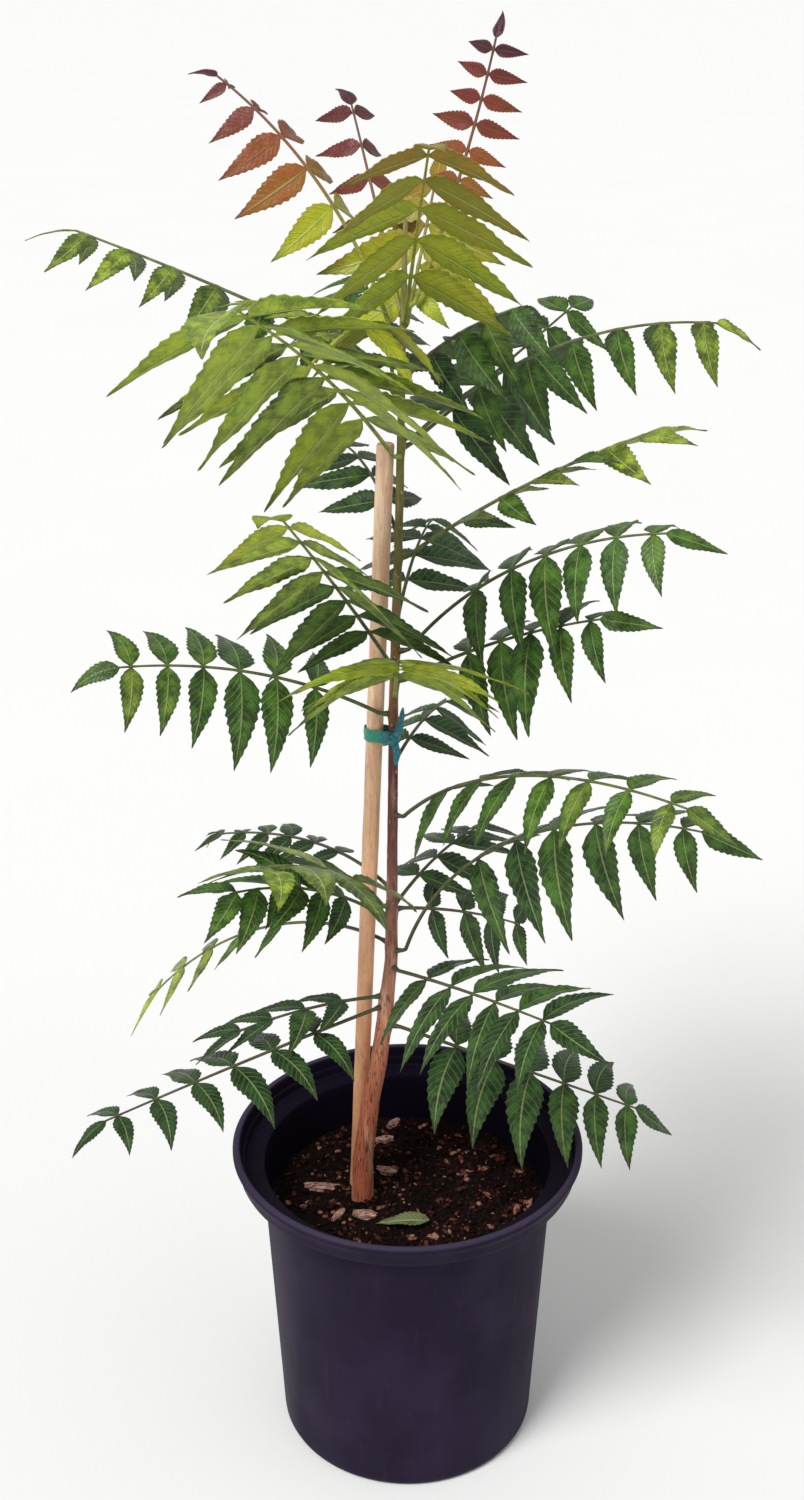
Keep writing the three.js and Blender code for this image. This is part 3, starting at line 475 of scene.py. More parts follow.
# Leaves from the bottom up, in millimetres and degrees. Azimuth is 0 to the right and -90 to the front,
# rise is the slope at the stem, droop and sweep how far the stalk bends down and sideways by its tip.
# Leaflet is the length of the longest ones and tip the last pair's share of it. Forward is their angle
# to the stalk, hang how far they drop from the leaf's plane, and roll the tilt of that plane.
# Bare is the share of the stalk before the first pair. Age is that of the leaf's foot and of its tip,
# from 0 for just unfolded to 1 for old.
FROND_COLUMNS = ("name", "height", "azimuth", "rise", "droop", "sweep", "length", "pairs",
                 "leaflet", "tip", "forward", "hang", "roll", "bare", "age")
FRONDS = [dict(zip(FROND_COLUMNS, row)) for row in (
    ("bottom_right", 338,  -12, -15,   8, 14, 184,  6, 72,  0.6, 106, 12, -22, 0.26, (0.95, 0.9)),
    ("bottom_left",  354,  218,   1,   9, -8, 213,  6, 56, 0.62, 107, 12,   0, 0.26, (1.0, 0.97)),
    ("small_left",   362,  200,   6,  20,  0, 106,  4, 48,  0.8,  54, 10,   0, 0.26, (1.0, 0.98)),
    ("arch_near",    386,  -60,  20,  10,  8, 180,  6, 66, 0.75, 106, 14, -24, 0.26, (0.95, 0.9)),
    ("drop_left",    402,  132,  -2,  50, 38, 250,  5, 36, 1.25,  66,  8,  10, 0.42, (0.95, 0.6)),
    ("low_right",    399,  -43,  73,  74, 18, 285,  6, 76, 0.55, 102, 38, -34, 0.42, (0.92, 0.86)),
    ("near_left",    426,  204,  44,  46,  0, 122,  6, 52, 0.85,  60, 14,  16,  0.3, (0.92, 0.84)),
    ("near_front",   434, -134,  58,  50,  0, 130,  4, 84,  0.6,  84,  6, -10, 0.35, (0.74, 0.66)),
    ("small_right",  429,   30, -14,  16,  0, 110,  4, 46,  0.8,  75, 25, -50, 0.26, (0.97, 0.95)),
    ("back_low",     432,   60,  18,  30,  0, 130,  5, 55,  0.7,  75, 20,   0, 0.26, (1.0, 0.97)),
    ("back_row",     446,  126,  14,  24, 50, 150,  6, 42,  0.6,  75, 10,   0, 0.34, (1.0, 0.96)),
    ("arch_right",   503,  -54,  46,  50, 16, 262,  7, 58, 0.65, 112, 20, -18, 0.26, (0.9, 0.74)),
    ("back_tie",     540,   70,  16,  30,  0, 110,  4, 56,  0.8,  80, 25,   0, 0.26, (0.95, 0.9)),
    ("row_left",     576,  200,  34,  30,  4, 188,  6, 62, 0.65, 112, 24,  44,  0.3, (0.86, 0.76)),
    ("front",        590,  -85,  58,  55, -6, 118,  5, 80,  0.8, 100,  8,   0, 0.26, (0.6, 0.54)),
    ("near_right",   600,  -27,  35,  18,  0, 152,  5, 66,  0.6, 112, 34, -40, 0.38, (0.88, 0.8)),
    ("fan_left",     614, -110,  43,   2, -3, 212,  8, 68, 0.75, 118, 17,  -9, 0.26, (0.95, 0.56)),
    ("row_right",    620,  -24,  55,  47,  2, 204,  6, 62, 0.65, 112, 20, -25, 0.36, (0.88, 0.78)),
    ("back_mid",     640,   80,  30,  40,  0, 150,  5, 64,  0.7,  75, 22,   0, 0.26, (0.97, 0.92)),
    ("olive_right",  685,   -8,  38,  16, -2, 176,  6, 48, 0.95,  60, 24,   9, 0.26, (0.76, 0.6)),
    ("back_left",    700,  112,  40,  40,  0, 100,  4, 54,  0.7,  75, 22,   0, 0.26, (0.97, 0.92)),
    ("big_left",     749, -112,  39,  16,  3, 257, 10, 92, 0.85, 114, 20, -16, 0.26, (0.6, 0.56)),
    ("high_right",   754,   42,  25,   5,  8, 172,  6, 72,  0.6,  90, 30, -35, 0.26, (0.88, 0.84)),
    ("far_right",    760,   10,  44,  50,  0, 212,  6, 50,  0.8, 105, 62, -20, 0.26, (0.88, 0.68)),
    ("back_high",    775,  100,  40,  40,  0, 170,  5, 58,  0.7,  75, 22,   0, 0.26, (0.9, 0.85)),
    ("crown_left",   788, -160,  62,  50,  0, 106,  4, 54, 0.65,  62, 20,   0, 0.26, (0.74, 0.58)),
    ("high_left",    804,  172,  25,   8, -6, 215,  6, 46,  0.8, 105, 31,  -6, 0.26, (0.84, 0.67)),
    ("crown_right",  800,  -10,  48,  30,  0,  80,  4, 56,  0.8,  95, 35, -20, 0.26, (0.85, 0.8)),
    ("crown_bright", 812, -112,  62,  70,  0,  66,  3, 56,  0.9,  95, 25,   0, 0.26, (0.54, 0.48)),
    ("crown_back",   829,   61,  66,   4,  5,  90,  6, 72,  0.4, 132, 14, -20, 0.26, (0.54, 0.36)),
    ("crown_front",  832,  -80,  58,  24, -6, 160,  5, 76,  0.7, 110, 25,   0, 0.26, (0.56, 0.42)),
    ("young_left",   824,  158,  72,  40, -3, 190,  5, 55, 0.38, 100, 34,  20, 0.45, (0.7, 0.02)),
    ("young_back",   836,  108,  50,   4,  0, 152,  5, 35,  0.8,  92, 40,   0, 0.26, (0.45, 0.0)),
    ("young_right",  840,   19,  66, -11,  0, 162,  6, 28,  0.7, 105, 15, -50,  0.5, (0.55, 0.0)),
)]
BARK_BY_HEIGHT = [
    (0.0, (0.52, 0.140, 0.070, 1)), (0.07, (0.56, 0.195, 0.105, 1)), (0.17, (0.40, 0.185, 0.120, 1)),
    (0.30, (0.21, 0.090, 0.068, 1)), (0.48, (0.13, 0.038, 0.042, 1)), (0.58, (0.23, 0.105, 0.050, 1)),
    (0.76, (0.165, 0.140, 0.045, 1)), (1.0, (0.190, 0.210, 0.055, 1)),
]
CRACK_BROWN = (0.045, 0.015, 0.012, 1)
PEELED_TAN = (0.78, 0.48, 0.30, 1)
PORE_TAN = (0.56, 0.36, 0.27, 1)


def stem_at(height):
    i = 0
    while i < len(STEM) - 2 and STEM[i + 1][0] < height:
        i += 1
    low, high = STEM[i], STEM[i + 1]
    share = (height - low[0]) / (high[0] - low[0])
    x, y, radius = (between(low[k], high[k], share) for k in (1, 2, 3))
    return Vector((x, y, height)), radius


def rod(rings):
    """Points and faces of a closed rod through rings of points, each ring the same length."""
    sides = len(rings[0])
    points = [point for ring in rings for point in ring]
    foot = len(points)
    last = foot - sides
    faces = []
    for low in range(0, last, sides):
        faces += band(low, low + sides, sides)
    points += [sum(rings[0], Vector()) / sides, sum(rings[-1], Vector()) / sides]
    for k in range(sides):
        after = (k + 1) % sides
        faces.append((foot, after, k))
        faces.append((foot + 1, last + k, last + after))
    return points, faces


def stem_ring(height):
    centre, radius = stem_at(min(height, STEM[-1][0]))
    closing = max(0.0, (height - BUD_FOOT) / BUD_LENGTH)
    radius *= math.sqrt(max(0.02, 1 - closing ** 2))
    ring = []
    for angle, x, y in spokes(STEM_SIDES):
        outward = Vector((x, y, 0))
        swell = 0.22 * noise.noise(Vector((outward.x * 1.5, outward.y * 1.5, height / 14)))
        for frond in FRONDS:
            if abs(height - frond["height"]) < 12:
                turn = math.cos(angle - math.radians(frond["azimuth"]))
                rise = (height - frond["height"] + SEAT_DROP) / SEAT_LENGTH
                swell += SEAT_SWELL * math.exp(-rise * rise) * max(0.0, turn) ** 3
        ring.append(centre + outward * (radius + swell))
    return [point * MM for point in ring]


stem_heights = [*range(STEM[0][0], BUD_FOOT - 2, STEM_RING_GAP), *BUD_RINGS]
stem = lay_mesh("Stem", *rod([stem_ring(height) for height in stem_heights]))

stem_bark, finish, shader, place = new_material("Young neem bark")
height = finish.height_of(place)
furrows = finish.use(upright_marks, place=place, fineness=900.0)
blotches = finish.noise(place, 95.0, 3.0)
wander = finish.times(finish.minus(blotches, 0.5), 0.14)
bark = finish.ramp(finish.plus(finish.spread(height, 0.19, 0.90), wander), BARK_BY_HEIGHT)
age_of_bark = finish.spread(height, 0.3, 0.62, 0.75, 0.3)
crack = finish.times(finish.spread(furrows["Fine"], 0.54, 0.66), age_of_bark)
peeled = finish.times(finish.spread(furrows["Broad"], 0.52, 0.64), age_of_bark)
bark = finish.blend(finish.times(peeled, 0.6), bark, PEELED_TAN)
bark = finish.blend(crack, bark, CRACK_BROWN)
pore_cells = finish.node("ShaderNodeTexVoronoi")
finish.feed(pore_cells.inputs["Vector"], finish.stretch(place, (1.0, 1.0, 0.6)))
finish.feed(pore_cells.inputs["Scale"], 260.0)
pores = finish.spread(pore_cells.outputs["Distance"], 0.14, 0.26, 1.0, 0.0)
pores = finish.times(pores, finish.spread(finish.noise(place, 300.0), 0.45, 0.6, 0.0, 0.8))
bark = finish.blend(pores, bark, PORE_TAN)
cover(finish, shader, bark, finish.spread(blotches, 0.3, 0.7, 0.5, 0.78))
shader.inputs["Specular IOR Level"].default_value = 0.25
relief = finish.minus(finish.plus(pores, furrows["Broad"]), crack)
press_relief(finish, shader, relief, 0.0005)
hand_over(stem, "stem", [stem_bark], 60)


# The cane is a straight split-bamboo rod, pushed into the soil beside the stem and leaning to it.
# It is a pinkish tan, more orange low down where it draws water, with long fibres, a few stained
# streaks and a sawn end with its edge broken.
CANE_FOOT = Vector((-40, 11, 121))
CANE_TOP = Vector((-14.2, 2, 756))
CANE_RADIUS = 5.6
CANE_SIDES = 26
CANE_RINGS = 130
CANE_UNEVENNESS = 0.2
CANE_RIBS = 7
CANE_RIB_HEIGHT = 0.06
BROKEN_EDGE = 0.6
CANE_PINK = (0.80, 0.46, 0.30, 1)
CANE_PALE = (0.92, 0.68, 0.46, 1)
CANE_DAMP = (0.92, 0.43, 0.19, 1)
CANE_FIBRE = (0.42, 0.170, 0.065, 1)
CANE_STAIN = (0.24, 0.090, 0.035, 1)


def cane_at(height):
    return CANE_FOOT.lerp(CANE_TOP, (height - CANE_FOOT.z) / (CANE_TOP.z - CANE_FOOT.z))


def cane_ring(share):
    centre = CANE_FOOT.lerp(CANE_TOP, share)
    ring = []
    for angle, x, y in spokes(CANE_SIDES):
        outward = Vector((x, y, 0))
        uneven = CANE_UNEVENNESS * noise.noise(Vector((outward.x, outward.y, share * 22)))
        rib = CANE_RIB_HEIGHT * math.cos(angle * CANE_RIBS + share * 2)
        broken = BROKEN_EDGE if share == 1 else 0.0
        ring.append((centre + outward * (CANE_RADIUS + uneven + rib - broken)) * MM)
    return ring


cane_shares = [i / CANE_RINGS * 0.9985 for i in range(CANE_RINGS + 1)] + [1.0]
cane = lay_mesh("Cane", *rod([cane_ring(share) for share in cane_shares]))

cane_wood, finish, shader, place = new_material("Bamboo cane")
fibres = finish.use(upright_marks, place=place, fineness=1500.0)
stains = finish.noise(finish.stretch(place, (1.0, 1.0, 0.35)), 60.0, 3.0)
wood = finish.blend(finish.spread(fibres["Broad"], 0.35, 0.65), CANE_PINK, CANE_PALE)
near_soil = finish.spread(finish.height_of(place), 0.28, 0.66, 0.8, 0.0)
wood = finish.blend(near_soil, wood, CANE_DAMP)
wood = finish.blend(finish.spread(fibres["Fine"], 0.52, 0.7, 0.0, 0.55), wood, CANE_FIBRE)
wood = finish.blend(finish.spread(stains, 0.6, 0.72, 0.0, 0.6), wood, CANE_STAIN)
cover(finish, shader, wood, finish.spread(fibres["Fine"], 0.3, 0.7, 0.45, 0.7))
press_relief(finish, shader, fibres["Fine"], 0.0003, 0.7)
hand_over(cane, "stake", [cane_wood], 40)


# The tie is a strip of soft teal tape wound once round stem and cane and knotted in front.
# The loop runs straight across from one to the other, the knot is a bundle of folds, and two
# crumpled ends stick out of it, one up and one down.
TIE_HEIGHT = 560
TIE_HALF_WIDTH = 4.5
TIE_THICKNESS = 0.8
TIE_SLACK = 0.6
ARC_STEPS = 24
CROSSING_STEPS = 8
LOOP_ROWS = 6
KNOT_RADIUS = 4.4
KNOT_SEGMENTS = 48
KNOT_RINGS = 28
TAILS = [
    [(1, -1, 2), (4.5, -2.5, 12), (6, -3, 24)],
    [(1, -1, -2), (2.5, -2.5, -9), (1.5, -3, -17)],
]
TAIL_HALF_WIDTHS = (2, 2.2, 0.8)
TAIL_HALF_THICKNESS = 0.25
TAIL_STEPS = 22
TAIL_COLUMNS = 6
TAPE_TEAL = (0.010, 0.180, 0.230, 1)
TAPE_GREEN = (0.025, 0.300, 0.190, 1)
TAPE_WORN = (0.20, 0.46, 0.40, 1)

tie_points = []
tie_faces = []


def add_to_tie(points, faces):
    first = len(tie_points)
    tie_points.extend(points)
    tie_faces.extend([first + i for i in face] for face in faces)


stem_centre, stem_radius = stem_at(TIE_HEIGHT)
cane_centre = cane_at(TIE_HEIGHT)
heading = math.atan2(stem_centre.y - cane_centre.y, stem_centre.x - cane_centre.x)
loop_path = []
for centre, radius, start in (
        (stem_centre, stem_radius, heading - math.pi / 2),
        (cane_centre, CANE_RADIUS, heading + math.pi / 2)):
    for step in range(ARC_STEPS + 1):
        angle = start + math.pi * step / ARC_STEPS
        outward = Vector((math.cos(angle), math.sin(angle), 0))
        loop_path.append((centre + outward * (radius + TIE_SLACK), outward))
    here, outward = loop_path[-1]
    there, other_radius = (
        (cane_centre, CANE_RADIUS) if centre is stem_centre else (stem_centre, stem_radius))
    end = there + outward * (other_radius + TIE_SLACK)
    for step in range(1, CROSSING_STEPS):
        loop_path.append((here.lerp(end, step / CROSSING_STEPS), outward))


def there_and_back(steps):
    """Places from -1 to 1 across the strip's inner face, 0, and then back across its outer face, 1."""
    inner = [(0, step / steps * 2 - 1) for step in range(steps + 1)]
    return inner + [(1, place) for face, place in reversed(inner)]


loop_rings = []
for i, (point, outward) in enumerate(loop_path):
    ring = []
    for outer, high in there_and_back(LOOP_ROWS):
        crease = 0.35 * math.cos(high * 5 + i * 0.9) * (1 - 0.4 * abs(high))
        crumple = 0.7 * noise.noise(Vector((i * 0.35, high * 2, 4)))
        offset = (TIE_THICKNESS if outer else 0.0) + max(0.0, crease + crumple * 0.6)
        place = point + outward * offset
        place.z = TIE_HEIGHT + high * TIE_HALF_WIDTH * (0.93 + 0.07 * crumple)
        ring.append(place * MM)
    loop_rings.append(ring)
loop_points = [point for ring in loop_rings for point in ring]
across = len(loop_rings[0])
loop_faces = []
for i in range(len(loop_rings)):
    following = (i + 1) % len(loop_rings)
    loop_faces += band(i * across, following * across, across)
add_to_tie(loop_points, loop_faces)

knot_centre = Vector((stem_centre.x, stem_centre.y - stem_radius - KNOT_RADIUS, TIE_HEIGHT))
knot = bmesh.new()
bmesh.ops.create_uvsphere(knot, u_segments=KNOT_SEGMENTS, v_segments=KNOT_RINGS, radius=1)
for vertex in knot.verts:
    x, y, z = vertex.co
    turn = math.atan2(y, x)
    folds = 0.09 * math.cos(turn * 3 + z * 5) + 0.06 * math.cos(z * 9 - turn * 2)
    crumple = 0.10 * noise.noise(vertex.co * 2.2)
    vertex.co = Vector((x, y * 0.75, z * 0.95)) * KNOT_RADIUS * (0.92 + folds + crumple)
knot_points, knot_faces = shell(knot)
add_to_tie([(knot_centre + point) * MM for point in knot_points], knot_faces)


def rounded_path(points, share):
    """A point on the smooth path through three points or more."""
    place = min(share, 0.9999) * (len(points) - 1)
    i = int(place)
    t = place - i
    a, b = points[max(i - 1, 0)], points[i]
    c, d = points[i + 1], points[min(i + 2, len(points) - 1)]
    return 0.5 * (2 * b + (c - a) * t + (2 * a - 5 * b + 4 * c - d) * t * t
                  + (3 * b - a - 3 * c + d) * t ** 3)


for number, tail in enumerate(TAILS):
    route = [knot_centre + Vector(point) for point in tail]
    rings = []
    for step in range(TAIL_STEPS + 1):
        share = step / TAIL_STEPS
        point = rounded_path(route, share)
        ahead = rounded_path(route, min(1, share + 0.02)) - rounded_path(route, max(0, share - 0.02))
        twist = Matrix.Rotation(between(-0.3, 0.7, share), 3, ahead.normalized())
        right = twist @ ahead.cross(Vector((0, -1, 0))).normalized()
        front = right.cross(ahead).normalized()
        root, middle, end = TAIL_HALF_WIDTHS
        width = between(root, middle, share * 2) if share < 0.5 else between(middle, end, share * 2 - 1)
        ring = []
        for outer, reach in there_and_back(TAIL_COLUMNS):
            curl = 0.5 * reach * reach + 0.25 * math.sin(share * 16 + reach * 2 + number)
            lift = curl + (TAIL_HALF_THICKNESS if outer else -TAIL_HALF_THICKNESS)
            ring.append((point + right * reach * width * 1.15 + front * lift) * MM)
        rings.append(ring)
    add_to_tie(*rod(rings))
tie = lay_mesh("Tape_tie", tie_points, tie_faces)

tape, finish, shader, place = new_material("Teal garden tape")
folds = finish.noise(place, 260.0, 3.0)
wear = finish.noise(place, 620.0, 3.0, 0.6)
side_to_side = finish.node("ShaderNodeSeparateXYZ")
finish.feed(side_to_side.inputs[0], place)
greener = finish.spread(side_to_side.outputs[0], -0.012, -0.024)
skin = finish.blend(greener, TAPE_TEAL, TAPE_GREEN)
skin = finish.blend(finish.spread(wear, 0.55, 0.72, 0.0, 0.7), skin, TAPE_WORN)
cover(finish, shader, skin, finish.spread(folds, 0.3, 0.7, 0.25, 0.5))
press_relief(finish, shader, folds, 0.0006, 0.8)
hand_over(tie, "tie", [tape], 50)


# A neem leaf is a long stalk with toothed, sickle-shaped leaflets in pairs and one at its end.
# Old leaves low down are deep green with pale ribs, those near the top lime, and the youngest
# bronze red. Each hangs from the stem at its own height and bends under its own weight.
STALK_GAP = 0.3
STALK_STEPS = 30
STALK_BASE_RADIUS = 1.5
STALK_TIP_RADIUS = 0.75
STALK_SIDES = 8
STALK_RINGS = 84
STALK_SLIMNESS = 0.92
STALK_FOOT = (0.9, 3.5)
STALK_JOINT = (0.28, 1.8)
PETIOLE_BEND = 0.05
LAST_PAIR = 0.96
LONGEST_RANK = 0.4
FIRST_PAIR_SIZE = 0.85
FORWARD_AT_TIP = 0.8
LEAFLET_SIZES = (0.92, 1.08)
END_SIZES = (0.85, 1.05)
FORWARD_STRAY = 6
HANG_STRAY = 8
AGE_STRAY = 0.14
BLADE_STEPS = 10
END_FORWARD = 96
END_HANG = 18
BLADE_SICKLE = 28
BLADE_WEIGHT = 0.45
BLADE_THICKNESS = 0.7
BLADE_COLUMNS = (-1.0, -0.5, 0.0, 0.5, 1.0)
BLADE_FOLDS = (-0.02, 0.30)
BLADE_CUPPING = 0.16
BLADE_WAVES = (0.3, 1.0)
BLADE_TEETH = 9
TEETH_START = 0.1
TEETH_END = 0.9
TOOTH_WIDE = 1.06
TOOTH_NARROW = 0.93
TOOTH_JUT = 0.16
BLADE_HALF = 0.28
RIB_GROOVE = 0.12
RIB_KEEL = 0.3
ROOT_ROOM = 0.3
TIP_MISS = 0.2
# Swings that a leaflet may take to hang clear of its neighbours: down, forward, length
SWINGS = [
    (0, 0, 1), (14, 0, 1), (-14, 0, 1), (0, 14, 1), (0, -14, 1), (28, 0, 1), (-28, 0, 1),
    (16, 16, 1), (-16, 16, 1), (16, -16, 1), (-16, -16, 1), (0, 0, 0.8), (20, 0, 0.8),
    (-20, 0, 0.8), (40, 0, 0.85), (-40, 0, 0.85), (0, 25, 0.75), (0, -25, 0.75), (30, 20, 0.65),
    (-30, 20, 0.65), (0, 0, 0.55), (30, 0, 0.5), (-30, 0, 0.5),
]
# Half widths of a blade along its length, as shares of the length
TIPWARD_WIDTHS = [
    (0, 0.012), (0.03, 0.055), (0.07, 0.125), (0.13, 0.172), (0.20, 0.196), (0.28, 0.198),
    (0.40, 0.180), (0.55, 0.142), (0.70, 0.095), (0.85, 0.042), (1, 0),
]
BASEWARD_WIDTHS = [
    (0, 0.010), (0.04, 0.03), (0.09, 0.100), (0.16, 0.155), (0.25, 0.172), (0.35, 0.168),
    (0.48, 0.146), (0.62, 0.108), (0.76, 0.066), (0.88, 0.030), (1, 0),
]


def frond_frame(frond, share):
    """Directions along a leaf's stalk, to its side and up from its plane, at a share of its length."""
    bend = min(1, share / PETIOLE_BEND)
    slope = math.radians((frond["rise"] - frond["droop"] * share) * bend)
    turn = math.radians(frond["azimuth"] + frond["sweep"] * share)
    outward = Vector((math.cos(turn), math.sin(turn), 0))
    along = outward * math.cos(slope) + Vector((0, 0, math.sin(slope)))
    level = Vector((math.sin(turn), -math.cos(turn), 0))
    raised = level.cross(along)
    roll = math.radians(frond["roll"])
    side = level * math.cos(roll) + raised * math.sin(roll)
    up = raised * math.cos(roll) - level * math.sin(roll)
    return along, side, up


def stalk_route(frond):
    centre, radius = stem_at(frond["height"])
    points = [centre + frond_frame(frond, 0)[0] * (radius + STALK_GAP)]
    for i in range(STALK_STEPS):
        along = frond_frame(frond, (i + 0.5) / STALK_STEPS)[0]
        points.append(points[i] + along * (frond["length"] / STALK_STEPS))
    return points


def point_along(points, share):
    place = min(share, 0.9999) * (len(points) - 1)
    i = int(place)
    return points[i].lerp(points[i + 1], place - i)


def stalk_radius(share):
    return between(STALK_BASE_RADIUS, STALK_TIP_RADIUS, share)


def leaflet_plan(frond, number):
    """Where each leaflet of a leaf starts, how long it is and how it is held."""
    plan = []
    last = frond["pairs"] - 1
    for pair in range(frond["pairs"]):
        rank = pair / last
        size = between(FIRST_PAIR_SIZE, 1, rank / LONGEST_RANK)
        if rank >= LONGEST_RANK:
            size = between(1, frond["tip"], (rank - LONGEST_RANK) / (1 - LONGEST_RANK))
        share = between(frond["bare"], LAST_PAIR, rank ** 0.92)
        for hand in (1, -1):
            seed = number * 100 + pair * 8 + hand
            forward = between(frond["forward"], frond["forward"] * FORWARD_AT_TIP, rank)
            plan.append(dict(
                hand=hand, share=share, seed=seed,
                length=frond["leaflet"] * size * between(*LEAFLET_SIZES, draw(seed)),
                forward=forward + between(-FORWARD_STRAY, FORWARD_STRAY, draw(seed + 0.31)),
                hang=frond["hang"] + between(-HANG_STRAY, HANG_STRAY, draw(seed + 0.57))))
    seed = number * 100 + 77
    length = frond["leaflet"] * frond["tip"] * between(*END_SIZES, draw(seed))
    plan.append(dict(hand=0, share=1, seed=seed, length=length, forward=END_FORWARD, hang=END_HANG))
    return plan


def midrib(frond, points, leaflet, swing):
    """Stations along a leaflet's rib with the directions tipward and up, its length, and the way out."""
    hang_swing, forward_swing, length_share = swing
    along, side, up = frond_frame(frond, leaflet["share"])
    hand = leaflet["hand"]
    tipward = along if hand else -side
    level = side * hand if hand else along
    hang = math.radians(leaflet["hang"] + hang_swing)
    outward = level * math.cos(hang) - up * math.sin(hang)
    flat = outward.cross(tipward).normalized()
    length = leaflet["length"] * length_share
    point = point_along(points, leaflet["share"])
    if hand:
        point = point + level * (stalk_radius(leaflet["share"]) * math.sqrt(0.5))
    stations = []
    for i in range(BLADE_STEPS + 1):
        share = i / BLADE_STEPS
        angle = math.radians(leaflet["forward"] + forward_swing - BLADE_SICKLE * share)
        direction = tipward * math.cos(angle) + outward * math.sin(angle)
        direction.z -= BLADE_WEIGHT * share
        direction.normalize()
        towards = flat.cross(direction).normalized()
        upper = direction.cross(towards)
        stations.append((point, towards, -upper if hand < 0 else upper))
        point = point + direction * (length / BLADE_STEPS)
    return stations, length, level


def blade_tip(stations):
    """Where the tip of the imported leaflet's upper face lies."""
    return stations[-1][0] + stations[-2][2] * (BLADE_THICKNESS / 2)


def width_at(widths, share):
    i = 0
    while i < len(widths) - 2 and widths[i + 1][0] < share:
        i += 1
    (low, low_width), (high, high_width) = widths[i], widths[i + 1]
    return between(low_width, high_width, (share - low) / (high - low))


